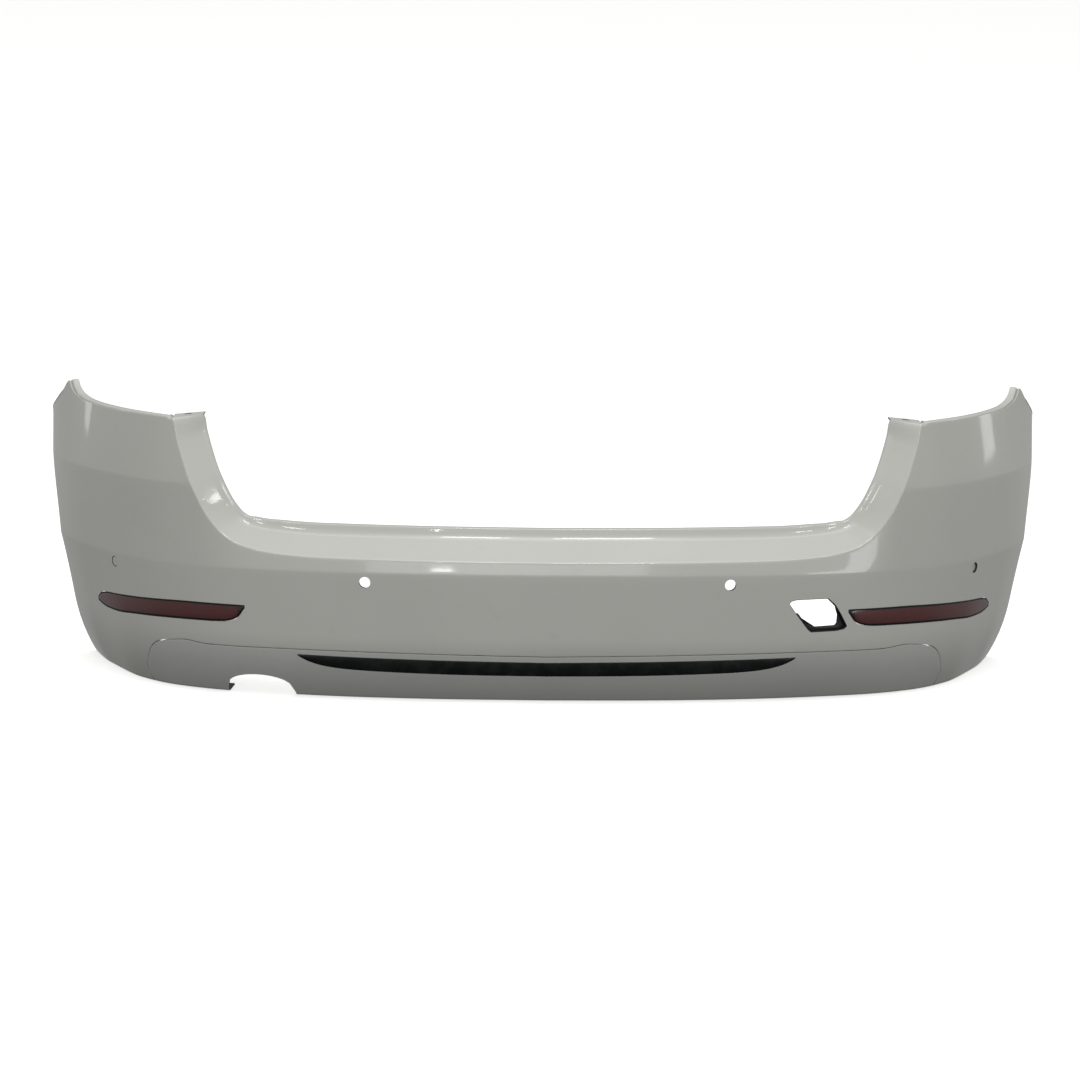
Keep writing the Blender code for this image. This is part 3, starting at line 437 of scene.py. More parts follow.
class Sheet:
    # Patches of one surface. Each patch is a grid of points, and their shared edges are merged at the end.
    def __init__(self):
        self.points, self.quads, self.grime, self.count = [], [], [], 0

    def add(self, grid, grime=None, side=1):
        m, n = grid.shape[:2]
        index = self.count + np.arange(m * n).reshape(m, n)
        quads = np.stack([index[:-1, :-1], index[1:, :-1], index[1:, 1:], index[:-1, 1:]], -1)
        self.points.append(grid.reshape(-1, 3) * (side, 1, 1))
        self.quads.append(quads.reshape(-1, 4))
        self.grime.append(np.zeros(m * n) if grime is None else np.broadcast_to(grime, (m, n)).reshape(-1))
        self.count += m * n

    def mesh(self, name, outward):
        # outward is a direction that most of the sheet faces.
        points = np.concatenate(self.points)
        made = bpy.data.meshes.new(name)
        made.from_pydata(points.tolist(), [], np.concatenate(self.quads).tolist())
        setShadeAndLensRim(made, np.concatenate(self.grime))
        shape = bmesh.new()
        shape.from_mesh(made)
        bmesh.ops.remove_doubles(shape, verts=shape.verts, dist=2e-5)
        bmesh.ops.dissolve_degenerate(shape, dist=1e-6, edges=shape.edges)
        shape.normal_update()
        bmesh.ops.recalc_face_normals(shape, faces=shape.faces)
        facing = sum((f.normal * f.calc_area() for f in shape.faces), Vector())
        if facing.dot(Vector(outward)) < 0:
            bmesh.ops.reverse_faces(shape, faces=shape.faces)
        shape.to_mesh(made)
        shape.free()
        return made


def pieceFrom(name, mesh, materials):
    made = bpy.data.objects.new(name, mesh)
    bpy.context.scene.collection.objects.link(made)
    for m in materials:
        mesh.materials.append(m)
    return made


def walled(piece, thickness):
    # Gives a sheet its wall inwards, marks its edges and weights its shading by area.
    wall = piece.modifiers.new("wall", "SOLIDIFY")
    wall.thickness = thickness
    wall.offset = -1
    wall.material_offset = 1
    wall.material_offset_rim = 1
    graph = bpy.context.evaluated_depsgraph_get()
    solid = bpy.data.meshes.new_from_object(piece.evaluated_get(graph), depsgraph=graph)
    piece.modifiers.clear()
    piece.data = solid
    return smoothed(piece)


def smoothed(piece, angle=38):
    piece.data.polygons.foreach_set("use_smooth", np.ones(len(piece.data.polygons), bool))
    piece.data.set_sharp_from_angle(angle=math.radians(angle))
    shading = piece.modifiers.new("shading", "WEIGHTED_NORMAL")
    shading.keep_sharp = True
    return piece


# ---- materials


def nodeMaterial(name):
    made = bpy.data.materials.new(name)
    made.use_nodes = True
    tree = made.node_tree
    shader = tree.nodes["Principled BSDF"]

    def add(kind, **values):
        node = tree.nodes.new(kind)
        for key, value in values.items():
            if key in node.inputs:
                node.inputs[key].default_value = value
            else:
                setattr(node, key, value)
        return node

    def link(output, target):
        tree.links.new(output, target)

    return made, shader, add, link


paint = dict(
    colour=(0.560, 0.562, 0.530),
    lowColour=(0.560, 0.565, 0.545),
    # The next colour is painted into the lamp groove as its shade.
    grooveShade=(0.30, 0.29, 0.26),
    roughness=0.30,
    coat=0.75,
)


def scatterMask(add, link, position, scale, low, high):
    noise = add("ShaderNodeTexNoise", Scale=scale, Detail=6.0, Roughness=0.6)
    link(position, noise.inputs["Vector"])
    ramp = add("ShaderNodeMapRange")
    ramp.inputs["From Min"].default_value = low
    ramp.inputs["From Max"].default_value = high
    link(noise.outputs["Fac"], ramp.inputs["Value"])
    return ramp.outputs["Result"]


def mixColour(add, link, factor, a, b):
    mix = add("ShaderNodeMix", data_type="RGBA")
    if isinstance(factor, float):
        mix.inputs[0].default_value = factor
    else:
        link(factor, mix.inputs[0])
    for socket, value in ((mix.inputs[6], a), (mix.inputs[7], b)):
        if isinstance(value, tuple):
            socket.default_value = (*value, 1)
        else:
            link(value, socket)
    return mix.outputs[2]


def paintMaterial(name, colour):
    made, shader, add, link = nodeMaterial(name)
    position = add("ShaderNodeTexCoord").outputs["Object"]
    patchy = scatterMask(add, link, position, 3.0, 0.35, 0.70)
    base = mixColour(add, link, patchy, colour, tuple(c * 0.955 for c in colour))
    film = scatterMask(add, link, position, 38.0, 0.60, 0.80)
    dusted = mixColour(add, link, film, base, tuple(c * 0.93 for c in colour))
    # Painted shade: an attribute darkens the lamp groove towards the shade colour above; it is zero on the
    # rest of the paint.
    grime = add("ShaderNodeAttribute", attribute_name="grime").outputs["Fac"]
    grooveShaded = mixColour(add, link, grime, dusted, paint["grooveShade"])
    link(grooveShaded, shader.inputs["Base Color"])
    rough = add("ShaderNodeMapRange")
    rough.inputs["To Min"].default_value = paint["roughness"]
    rough.inputs["To Max"].default_value = paint["roughness"] + 0.12
    link(film, rough.inputs["Value"])
    link(rough.outputs["Result"], shader.inputs["Roughness"])
    peel = add("ShaderNodeTexNoise", Scale=420.0, Detail=2.0)
    link(position, peel.inputs["Vector"])
    wave = add("ShaderNodeTexNoise", Scale=9.0, Detail=1.0)
    link(position, wave.inputs["Vector"])
    fine = add("ShaderNodeBump", Strength=0.035, Distance=0.0004)
    link(peel.outputs["Fac"], fine.inputs["Height"])
    broad = add("ShaderNodeBump", Strength=0.10, Distance=0.0016)
    link(wave.outputs["Fac"], broad.inputs["Height"])
    link(fine.outputs["Normal"], broad.inputs["Normal"])
    link(broad.outputs["Normal"], shader.inputs["Normal"])
    link(broad.outputs["Normal"], shader.inputs["Coat Normal"])
    shader.inputs["Coat Weight"].default_value = paint["coat"]
    shader.inputs["Coat Roughness"].default_value = 0.06
    shader.inputs["IOR"].default_value = 1.5
    return made


def plasticMaterial(name, colour, roughness, grain, strength, speck=None):
    made, shader, add, link = nodeMaterial(name)
    position = add("ShaderNodeTexCoord").outputs["Object"]
    worn = scatterMask(add, link, position, 30.0, 0.45, 0.75)
    lighter = speck or tuple(min(1, c * 1.7 + 0.004) for c in colour)
    link(mixColour(add, link, worn, colour, lighter), shader.inputs["Base Color"])
    rough = add("ShaderNodeMapRange")
    rough.inputs["To Min"].default_value = roughness
    rough.inputs["To Max"].default_value = min(1, roughness + 0.15)
    link(worn, rough.inputs["Value"])
    link(rough.outputs["Result"], shader.inputs["Roughness"])
    texture = add("ShaderNodeTexNoise", Scale=grain, Detail=3.0)
    link(position, texture.inputs["Vector"])
    bump = add("ShaderNodeBump", Strength=strength, Distance=0.0004)
    link(texture.outputs["Fac"], bump.inputs["Height"])
    link(bump.outputs["Normal"], shader.inputs["Normal"])
    return made


def steelMaterial(name):
    made = plasticMaterial(name, (0.30, 0.29, 0.27), 0.38, 900.0, 0.15, (0.42, 0.40, 0.36))
    made.node_tree.nodes["Principled BSDF"].inputs["Metallic"].default_value = 1.0
    return made


lensLook = dict(red=(0.105, 0.0042, 0.0060), dark=(0.010, 0.0015, 0.0018), pitch=420.0)


def lensMaterial(name):
    # Dark red prisms behind clear gloss: the attribute read here is 1 at the rim, where no prisms are. On the
    # painted skin the same attribute carries the painted shade of the lamp groove.
    made, shader, add, link = nodeMaterial(name)
    position = add("ShaderNodeTexCoord").outputs["Object"]
    cells = add("ShaderNodeTexVoronoi", Scale=lensLook["pitch"])
    link(position, cells.inputs["Vector"])
    shaded = tuple(c * 0.45 for c in lensLook["red"])
    facets = mixColour(add, link, cells.outputs["Distance"], lensLook["red"], shaded)
    rim = add("ShaderNodeAttribute", attribute_name="grime").outputs["Fac"]
    link(mixColour(add, link, rim, facets, lensLook["dark"]), shader.inputs["Base Color"])
    rough = add("ShaderNodeMapRange")
    rough.inputs["To Min"].default_value = 0.34
    rough.inputs["To Max"].default_value = 0.15
    link(rim, rough.inputs["Value"])
    link(rough.outputs["Result"], shader.inputs["Roughness"])
    bump = add("ShaderNodeBump", Strength=0.25, Distance=0.0005)
    link(cells.outputs["Distance"], bump.inputs["Height"])
    link(bump.outputs["Normal"], shader.inputs["Normal"])
    shader.inputs["Coat Weight"].default_value = 0.6
    shader.inputs["Coat Roughness"].default_value = 0.08
    return made


whitePaint = paintMaterial("whitePaint", paint["colour"])
valancePaint = paintMaterial("valancePaint", paint["lowColour"])
barePlastic = plasticMaterial("bareInnerPlastic", (0.030, 0.030, 0.031), 0.55, 700.0, 0.30)
glossBlack = plasticMaterial("glossBlack", (0.0090, 0.0105, 0.0105), 0.20, 300.0, 0.05, (0.020, 0.023, 0.022))
housingBlack = plasticMaterial("housingBlack", (0.008, 0.008, 0.009), 0.35, 500.0, 0.12)
holderPlastic = plasticMaterial("holderPlastic", (0.030, 0.030, 0.032), 0.50, 600.0, 0.20)
springSteel = steelMaterial("springSteel")
redLens = lensMaterial("redLens")
print("materials made")


# ---- painted skin


skin = dict(
    columnStep=0.010,
    earStep=0.0028,
    lampStep=0.0055,
    earStartX=0.40,
    rootRadius=0.003,
    joinFromTip=0.260,
    topRadius=0.0035,
    foldRadius=0.0080,
    edgeRadius=0.0020,
    ledgeDepth=0.056,
    ledgeRise=0.034,
    upstandDepth=0.006,
    upstandRise=0.016,
    ledgeLip=0.014,
    earBand=(-0.050, 0.032, 0.001),
    earFullness=0.4,  # how much wider the band is round the opening's corner
    earFold=0.85,
    earLip=0.002,
    lampFlange=0.018,
    grooveDepth=0.0030,
    tabLength=0.044,
    tabRise=0.001375,
    tabSlot=(0.013, 0.009),
    tabSlotFromEdge=0.013,
    levelA=0.150,
    wingStartFromTip=0.112,
)


def steepness(along):
    # 0 where the rail is level and 1 where it stands upright, smooth through its value at a few places.
    middle = np.linspace(0, fromTip(0.480), 9)
    bend = fromTip([0.449, 0.419, 0.395, 0.375, 0.357, 0.340, 0.323, 0.306, 0.289])
    knots = alongX(np.concatenate([middle, bend]))
    step = 0.004
    run = face(knots + step, topHeight(knots + step)) - face(knots - step, topHeight(knots - step))
    rise = np.clip(np.arctan2(run[:, 2], np.hypot(run[:, 0], run[:, 1])) / (math.pi / 2), 0, 1)
    rise[0] = 0
    return smoothThrough(along, np.append(knots, earAt), np.append(rise, 1))


def railRows(along):
    # Rows above the face behind the rail: rounded top crease, ledge, rounded fold, upstand,
    # rounded edge, lip.
    start = face(along, topHeight(along))
    rise = steepness(along)[:, None]
    flat = 1 - rise
    inward = np.concatenate([beltInward(along), np.zeros((len(along), 1))], 1)
    inward[:, 0] *= rise[:, 0]
    inward = unit(inward)
    up = np.array([0, 0, 1])
    band = np.array(skin["earBand"]) * rise * (1 + skin["earFullness"] * flat)
    ledge = inward * skin["ledgeDepth"] + up * skin["ledgeRise"]
    upstand = inward * skin["upstandDepth"] + up * skin["upstandRise"]
    fold = start + flat * ledge + band * skin["earFold"]
    edge = start + flat * (ledge + upstand) + band
    lip = edge + (flat * skin["ledgeLip"] + rise * skin["earLip"]) * inward
    below = face(along, topHeight(along) - skin["topRadius"])
    crease = roundedCorner(below, start, fold, skin["topRadius"])
    crease[:, 0] = below
    hollow = roundedCorner(start, fold, edge, skin["foldRadius"], 7)
    brow = roundedCorner(fold, edge, lip, skin["edgeRadius"], 4)
    rows = [crease, straightRows(crease[:, -1], hollow[:, 0], 18), hollow]
    rows += [straightRows(hollow[:, -1], brow[:, 0], 2), brow, lip[:, None]]
    return np.concatenate(rows, 1)


def lampRows(along, count):
    # Rows above the face behind a lamp: rounded edge, a groove and a raised flange.
    # Returns them and, for each row, the painted shade that darkens the groove as if it lay in shadow.
    start = face(along, topHeight(along))
    fade = np.clip(1 - (along - peakAt) / 0.06, 0.12, 1)[:, None]
    inward = np.concatenate([beltInward(along), np.zeros((len(along), 1))], 1)
    up = np.array([0, 0, 1])
    groove = start + fade * (inward * 0.0046 - up * skin["grooveDepth"])
    ridge = start + fade * (inward * 0.0075 + up * 0.0014)
    end = start + fade * (inward * skin["lampFlange"] + up * 0.0014)
    radius = 0.0026
    below = face(along, topHeight(along) - skin["topRadius"])
    crease = roundedCorner(face(along, topHeight(along) - radius), start, groove, radius)
    crease[:, 0] = below
    brow = roundedCorner(groove, ridge, end, 0.0022, 3)
    rows = [crease, groove[:, None], brow, straightRows(brow[:, -1], end, count - 10), end[:, None]]
    # Painted shade: the row running into the groove and the groove's bottom are darkened, standing in for the
    # groove's shadow.
    grime = np.zeros(count)
    grime[4:6] = (0.45, 1.0)
    return np.concatenate(rows, 1), grime


def faceGrids(along, low, top, linesA, linesB):
    # The three stretches of a face between its two lines of openings, as heights for each column.
    creases = cover["valanceCrease"], cover["beltCrease"], cover["earCrease"]
    lowA, highA = linesAt(linesA, along)
    lowB, highB = linesAt(linesB, along)
    flat = np.full_like(along, 1.0)
    bend = np.minimum(creases[2], creases[1] + 0.85 * (top - creases[1]))
    first = np.concatenate(
        [
            between(low, flat * creases[0], crowded(9))[:, :-1],
            between(flat * creases[0], lowA, crowded(5)),
        ],
        1,
    )
    second = between(highA, lowB, crowded(7))
    third = np.concatenate(
        [
            between(highB, flat * creases[1], crowded(4))[:, :-1],
            between(flat * creases[1], bend, crowded(15))[:, :-1],
            between(bend, top, crowded(10)),
        ],
        1,
    )
    return first, second, third


def seamRows(along):
    # Below the face at the seam: rounded fold and flange. Past the seam: rounded bottom edge and flange.
    at, past = along[along <= seamEndAt], along[along > seamEndAt]
    height = seamHeight(at)
    fold = face(at, height + seam["radius"]), face(at, height), face(at, height, seam["flange"])
    edge = face(past, bottom["radius"]), face(past, 0.0), bottomRim(past)
    return [turnedRim(*fold, seam["radius"]), turnedRim(*edge, bottom["radius"])]


def lowEdge(along):
    return np.where(along <= seamEndAt, seamHeight(along) + seam["radius"], bottom["radius"])


def tabPatches(line, beforeLine):
    # The fastening tab: the ear's end line swept forward, turned at its root, with its slot left open.
    sweep = np.array([0, skin["tabLength"], skin["tabRise"]])
    root = roundedCorner(beforeLine, line, line + sweep, skin["rootRadius"], 4)
    root[:, 0] = beforeLine
    rootShare = skin["rootRadius"] / skin["tabLength"]
    long, wide = skin["tabSlot"]
    middle = -skin["earBand"][0] / 2 - skin["earLip"] / 2
    s = np.abs((line[0, 0] - line[:, 0]) - middle) / (long / 2)
    half = wide / 2 * np.clip(1 - s**3, 0, 1) ** (1 / 3) / skin["tabLength"]
    centre = 1 - skin["tabSlotFromEdge"] / skin["tabLength"]
    near = between(np.full(len(line), rootShare), centre - half, np.linspace(0, 1, 8))
    far = between(centre + half, np.ones(len(line)), np.linspace(0, 1, 5))
    nearGrid = line[:, None] + near[..., None] * sweep
    nearGrid[:, 0] = root[:, -1]
    farGrid = line[:, None] + far[..., None] * sweep
    outer = np.concatenate([root[0], nearGrid[0, 1:], farGrid[0, 1:]])
    return [root, nearGrid, farGrid], outer


def addFace(sheet, side, along, linesA, linesB):
    for heights in faceGrids(along, lowEdge(along), topHeight(along) - skin["topRadius"], linesA, linesB):
        sheet.add(face(along[:, None], heights), None, side)


def addSeam(sheet, side, along):
    for rows in seamRows(along):
        if len(rows):
            sheet.add(rows, None, side)


def skinHalf(sheet, side):
    linesB = splitLines([sensorOpening(x) for x in sensor["xs"]], sensor["height"])
    openingsA = [reflectorOpening()] if side < 0 else [towOpening(), reflectorOpening()]
    linesA = splitLines(openingsA, skin["levelA"])
    knots = np.union1d(np.concatenate([linesA[0], linesB[0]]), [seamEndAt, seamEndAt + 0.0002])
    rootAt = earAt - skin["rootRadius"]
    earStart = alongX(skin["earStartX"])
    wingAt = float(alongX(fromTip(skin["wingStartFromTip"])))
    innerColumns = np.union1d(
        columnsFor(0, earStart, skin["columnStep"], knots),
        columnsFor(earStart, rootAt, skin["earStep"], knots),
    )
    outerColumns = columnsFor(rootAt, wingAt, skin["lampStep"], knots)

    rail = railRows(innerColumns)
    addFace(sheet, side, innerColumns, linesA, linesB)
    sheet.add(rail, None, side)
    addSeam(sheet, side, innerColumns)

    endLine = railRows(np.array([earAt]))[0]
    tabGrids, tabEdge = tabPatches(endLine, rail[-1])
    for grid in tabGrids:
        sheet.add(grid, None, side)

    lamp, grime = lampRows(outerColumns, len(tabEdge))
    joinAt = float(alongX(fromTip(skin["joinFromTip"])))
    share = np.clip((outerColumns - rootAt) / (joinAt - rootAt), 0, 1)[:, None, None]
    target, _ = lampRows(np.array([joinAt]), len(tabEdge))
    joined = np.where(share < 1, (1 - share) * tabEdge + share * target, lamp)
    joined[:, 0] = lamp[:, 0]
    # The groove's painted shade fades in from the tab.
    sheet.add(joined, grime * share[..., 0], side)
    addFace(sheet, side, outerColumns, linesA, linesB)
    addSeam(sheet, side, outerColumns)
    wingPatches(sheet, side, wingAt, linesA, linesB, len(tabEdge))


def wingPatches(sheet, side, wingAt, linesA, linesB, lampCount):
    # Past the corner the columns fan out from an upright line to the wheel arch: each row's place is
    # the start plus its share of the way to where the arch crosses that row's height.
    share = np.linspace(0, 1, 62)
    topAt = wingAt + (tipAt - wingAt) * share
    low = np.full_like(topAt, bottom["radius"])
    radius, edgeRadius = skin["topRadius"], arch["edgeRadius"]
    for heights in faceGrids(topAt, low, topHeight(topAt) - radius, linesA, linesB):
        reach = archAt(heights) - edgeRadius - wingAt
        places = wingAt + reach * share[:, None]
        toTop = np.clip((heights - (topHeight(topAt)[:, None] - 0.02)) / (0.02 - radius), 0, 1)
        places = places * (1 - toTop) + topAt[:, None] * toTop
        grid = face(places, heights)
        sheet.add(grid, None, side)
        last, level = places[-1], heights[-1]
        edgeAt = np.minimum(last + edgeRadius, tipAt)
        rim = face(edgeAt, level, arch["leastFlange"] + arch["flange"] * archTaper(level))
        sheet.add(turnedRim(grid[-1], face(edgeAt, level), rim, edgeRadius, 3), None, side)
    # These lamp rows carry the groove's painted shade too.
    lamp, grime = lampRows(topAt, lampCount)
    sheet.add(lamp, grime, side)
    foot = wingAt + (archAt(bottom["radius"]) - edgeRadius - wingAt) * share
    edge = face(foot, bottom["radius"]), face(foot, 0.0), bottomRim(foot)
    sheet.add(turnedRim(*edge, bottom["radius"]), None, side)


def buildSkin():
    sheet = Sheet()
    for side in (1, -1):
        skinHalf(sheet, side)
    piece = pieceFrom("skinShell", sheet.mesh("skinShell", (0, -1, 0)), [whitePaint, barePlastic])
    walled(piece, cover["wall"])
    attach(piece, "root")
    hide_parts("bumper_skin")
    return piece


skinPiece = buildSkin()
print("skin:", len(skinPiece.data.polygons), "faces")


# ---- painted valance


exhaust = dict(x=-0.5145, halfWidth=0.0615, rise=0.039, foot=0.010)
valanceStep = 0.008


def notchHeight(x):
    # Height of the exhaust notch over x: steep sides up to its foot, then a flattened half round.
    foot, half = exhaust["foot"], exhaust["halfWidth"]
    turn = math.pi * np.linspace(0.88, 0.12, 25)
    across = half * 0.98 * np.cos(turn)
    rise = foot + (exhaust["rise"] - foot) * np.sin(turn) ** 0.8
    xs = np.concatenate([[-half - 0.0018, -half], across, [half, half + 0.0018]])
    zs = np.concatenate([[bottom["radius"], foot], rise, [foot, bottom["radius"]]])
    return np.interp(x, xs, zs), xs


def valanceHalf(sheet, side):
    lines = splitLines([stripOpening()], None)
    end = seamEndAt - seam["gap"]
    knots = lines[0]
    notchAt = alongX(exhaust["x"] + notchHeight(0.0)[1])
    if side < 0:
        knots = np.union1d(knots, notchAt)
    columns = columnsFor(0, end, valanceStep, knots)
    stretches = [columns]
    if side < 0:
        first, last = notchAt.min(), notchAt.max()
        before, after = columns <= first + 1e-9, columns >= last - 1e-9
        over = (columns >= first - 1e-9) & (columns <= last + 1e-9)
        stretches = [columns[before], columns[over], columns[after]]
    for k, at in enumerate(stretches):
        notched = side < 0 and k == 1
        x = -np.interp(at, beltAlong, beltPoints[:, 0])
        low = notchHeight(x - exhaust["x"])[0] if notched else np.full_like(at, bottom["radius"])
        top = seamHeight(at) - seam["gap"]
        lowLine, highLine = linesAt(lines, at)
        shut = at > lines[0][-1]
        middle = np.where(shut, np.minimum(lines[1][-1], low + 0.72 * (top - low)), lowLine)
        lowLine, highLine = np.where(shut, middle, lowLine), np.where(shut, middle, highLine)
        sheet.add(face(at[:, None], between(low, lowLine, crowded(10))), None, side)
        sheet.add(face(at[:, None], between(highLine, top - seam["radius"], crowded(5))), None, side)
        fold = face(at, top - seam["radius"]), face(at, top), face(at, top, seam["flange"])
        sheet.add(turnedRim(*fold, seam["radius"]), None, side)
        if notched:
            continue
        edge = face(at, bottom["radius"]), face(at, 0.0), bottomRim(at)
        sheet.add(turnedRim(*edge, bottom["radius"]), None, side)


def buildValance():
    sheet = Sheet()
    for side in (1, -1):
        valanceHalf(sheet, side)
    piece = pieceFrom("valanceShell", sheet.mesh("valanceShell", (0, -1, 0)), [valancePaint, barePlastic])
    walled(piece, cover["wall"])
    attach(piece, "root")
    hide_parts("lower_valance")
    return piece


valancePiece = buildValance()
print("valance:", len(valancePiece.data.polygons), "faces")


# ---- bars in the wall: trim strip, reflector lenses and their housings


def barMesh(name, rings, grime):
    # A closed bar: rings of points carried along it, joined by quads, each end closed by a fan.
    n, m = rings.shape[:2]
    index = np.arange(n * m).reshape(n, m)
    after = np.roll(index, -1, axis=1)
    quads = np.stack([index[:-1], after[:-1], after[1:], index[1:]], -1).reshape(-1, 4)
    centres = rings[[0, -1]].mean(1)
    startFan = np.stack([np.full(m, n * m), after[0], index[0]], -1)
    endFan = np.stack([np.full(m, n * m + 1), index[-1], after[-1]], -1)
    points = np.concatenate([rings.reshape(-1, 3), centres])
    made = bpy.data.meshes.new(name)
    made.from_pydata(points.tolist(), [], quads.tolist() + startFan.tolist() + endFan.tolist())
    values = np.concatenate([grime.reshape(-1), grime[0].mean(keepdims=True), grime[-1].mean(keepdims=True)])
    setShadeAndLensRim(made, values)
    shape = bmesh.new()
    shape.from_mesh(made)
    bmesh.ops.remove_doubles(shape, verts=shape.verts, dist=1e-6)
    shape.normal_update()
    bmesh.ops.recalc_face_normals(shape, faces=shape.faces)
    shape.to_mesh(made)
    shape.free()
    return made


def crownedRing(along, low, high, front, back, crown, radius):
    # Ring of a slab seen end on: a crowned front with rounded edges, and a flat back.
    t = np.linspace(0, 1, 13)
    bow = 1 - (2 * t - 1) ** 2
    height = between(low + radius, high - radius, t)
    depth = front - crown * bow[None, :] + 0 * height
    edge = np.linspace(0, math.pi / 2, 4)[1:]
    topHeights = (high - radius)[:, None] + radius * np.sin(edge)
    topDepths = front + radius * (1 - np.cos(edge)) + 0 * topHeights
    lowHeights = (low + radius)[:, None] - radius * np.sin(edge[::-1])
    lowDepths = front + radius * (1 - np.cos(edge[::-1])) + 0 * lowHeights
    backHeights = np.stack([high, low], 1)
    backDepths = np.full_like(backHeights, back)
    heights = np.concatenate([height, topHeights, backHeights, lowHeights], 1)
    depths = np.concatenate([depth, topDepths, backDepths, lowDepths], 1)
    return face(along[:, None], heights, depths)


def buildStrip():
    share = np.linspace(-1, 1, 141)
    share = np.sin(share * math.pi / 2) * 0.35 + share * 0.65
    low, high = stripEdges(np.abs(share))
    along = alongX(share * strip["halfLength"])
    high = np.maximum(high, low + 0.0018)
    rings = crownedRing(along, low, high, -strip["proud"] * 0.2, strip["deep"], strip["proud"] * 0.8, 0.0007)
    rings = rings * np.where(share < 0, -1, 1)[:, None, None] ** np.array([1, 0, 0])
    mesh = barMesh("trimStrip", rings, np.zeros(rings.shape[:2]))
    piece = smoothed(pieceFrom("trimStrip", mesh, [glossBlack]))
    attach(piece, "root")
    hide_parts("lower_trim_strip")


buildStrip()
print("trim strip made")


def lensRings():
    share = reflectorShares(reflector["stations"])
    along, low, high = reflectorEdges(share)
    margin = reflector["rim"]
    along[0] += margin
    along[-1] -= margin
    middle, half = (low + high) / 2, np.maximum((high - low) / 2 - margin, 0.0009)
    front = 0.0001  # how far the lens's edge stands off the paint
    crown = reflector["proud"] - front
    rings = crownedRing(along, middle - half, middle + half, -front, reflector["lensDeep"], crown, 0.0006)
    across = np.abs(np.concatenate([np.linspace(-1, 1, 13), np.ones(8)]))
    fromEnd = np.minimum(along - along[0], along[-1] - along)
    ends = np.clip((0.013 - fromEnd) / 0.004, 0, 1)[:, None]
    rim = np.clip((across - 0.86) / 0.08, 0, 1)[None, :]
    return rings, np.maximum(ends, rim)


def housingRings():
    # A tray: from the top edge round the back to the bottom edge, then over the rim and across its floor.
    share = np.sort(np.append(reflectorShares(reflector["stations"]), [0.0081, 0.0083, 0.9917, 0.9919]))
    along, low, high = reflectorEdges(share)
    wall = reflector["rim"] - reflector["gap"]
    middle, half = (low + high) / 2, np.maximum((high - low) / 2, 0.0016)
    inner = np.maximum(half - wall, 0.0008)
    floor = np.where((share > 0.0082) & (share < 0.9918), reflector["lensDeep"] + reflector["gap"], 0.0006)
    bevel = 0.0005
    outline = [
        (half, bevel), (half, reflector["deep"]), (-half, reflector["deep"]), (-half, bevel),
        (-half + bevel, 0 * half),
        (-inner - bevel * 0.5, 0 * half), (-inner, bevel), (-inner, floor), (inner, floor), (inner, bevel),
        (inner + bevel * 0.5, 0 * half), (half - bevel, 0 * half),
    ]  # fmt: skip
    heights = np.stack([middle + offset for offset, depth in outline], 1)
    depths = np.stack([depth + 0 * half for offset, depth in outline], 1)
    return face(along[:, None], heights, depths)


def buildReflector(name, side):
    rings, grime = lensRings()
    flip = np.array([side, 1, 1])
    lens = smoothed(pieceFrom(f"lens_{name}", barMesh(f"lens_{name}", rings * flip, grime), [redLens]))
    housing = housingRings() * flip
    blank = np.zeros(housing.shape[:2])
    trayMesh = barMesh(f"housing_{name}", housing, blank)
    tray = smoothed(pieceFrom(f"housing_{name}", trayMesh, [housingBlack]), 30)
    for piece, node, finish in ((lens, "lens", "red_lens"), (tray, "base", "black_housing")):
        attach(piece, "root")
        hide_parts(f"reflector_{node}_{name}")


buildReflector("left", -1)
buildReflector("right", 1)
print("reflectors made")


# ---- seat of the missing tow eye flap


def towSeat():
    # A return wall carried round the opening's outline, then a lip from the wall towards the middle.
    outer = [(-0.0535, 0.0220), (-0.0395, 0.0020), (-0.0185, -0.0255), (-0.0125, -0.0300), (0.0325, -0.0290)]
    outer += [(0.0475, -0.0265), (0.0525, -0.0210), (0.0415, 0.0000), (0.0305, 0.0180), (0.0175, 0.0300)]
    outer += [(0.0115, 0.0305), (-0.0405, 0.0295), (-0.0500, 0.0270)]
    inner = [(-0.0535, 0.0220), (-0.0415, 0.0040), (-0.0340, 0.0030), (-0.0275, -0.0055), (-0.0150, -0.0220)]
    inner += [(0.0330, -0.0205), (0.0365, -0.0165), (0.0375, -0.0020), (0.0330, 0.0130), (0.0175, 0.0300)]
    inner += [(0.0115, 0.0305), (-0.0405, 0.0295), (-0.0500, 0.0270)]
    outer, inner = (np.array(points) + (tow["x"], tow["height"]) for points in (outer, inner))
    closed = np.arange(len(outer) + 1) % len(outer)
    x, z = outer[closed].T
    depths = np.linspace(0.0008, tow["depth"], 6)
    sheet = Sheet()
    sheet.add(face(alongX(x)[:, None], z[:, None], depths))
    lipX = between(x, inner[closed, 0], np.linspace(0, 1, 4))
    lipZ = between(z, inner[closed, 1], np.linspace(0, 1, 4))
    lip = face(alongX(lipX), lipZ, tow["depth"])
    sheet.add(lip)
    return sheet


def buildTowSeat():
    mesh = towSeat().mesh("towSeat", (0, -1, 0))
    piece = pieceFrom("towSeat", mesh, [housingBlack, housingBlack])
    wall = piece.modifiers.new("wall", "SOLIDIFY")
    wall.thickness = tow["wall"]
    wall.offset = 0
    smoothed(piece, 30)
    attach(piece, "root")


buildTowSeat()
print("tow eye seat made")


# ---- finishes of the pieces kept from the frame


def finishNode(name, material):
    for slot in nodes[name].material_slots:
        slot.material = material


for nodeName in nodes:
    if nodeName.startswith("sensor_holder"):
        finishNode(nodeName, holderPlastic)
    elif nodeName.startswith("sensor"):
        finishNode(nodeName, whitePaint)
    elif "nut" in nodeName or "clip" in nodeName:
        finishNode(nodeName, springSteel)
print("kept pieces finished")


# ---- floor, backdrop and light


studio = dict(white=(0.93, 0.93, 0.93), floorHalf=9.0, backY=6.0, bend=2.0, height=7.0)


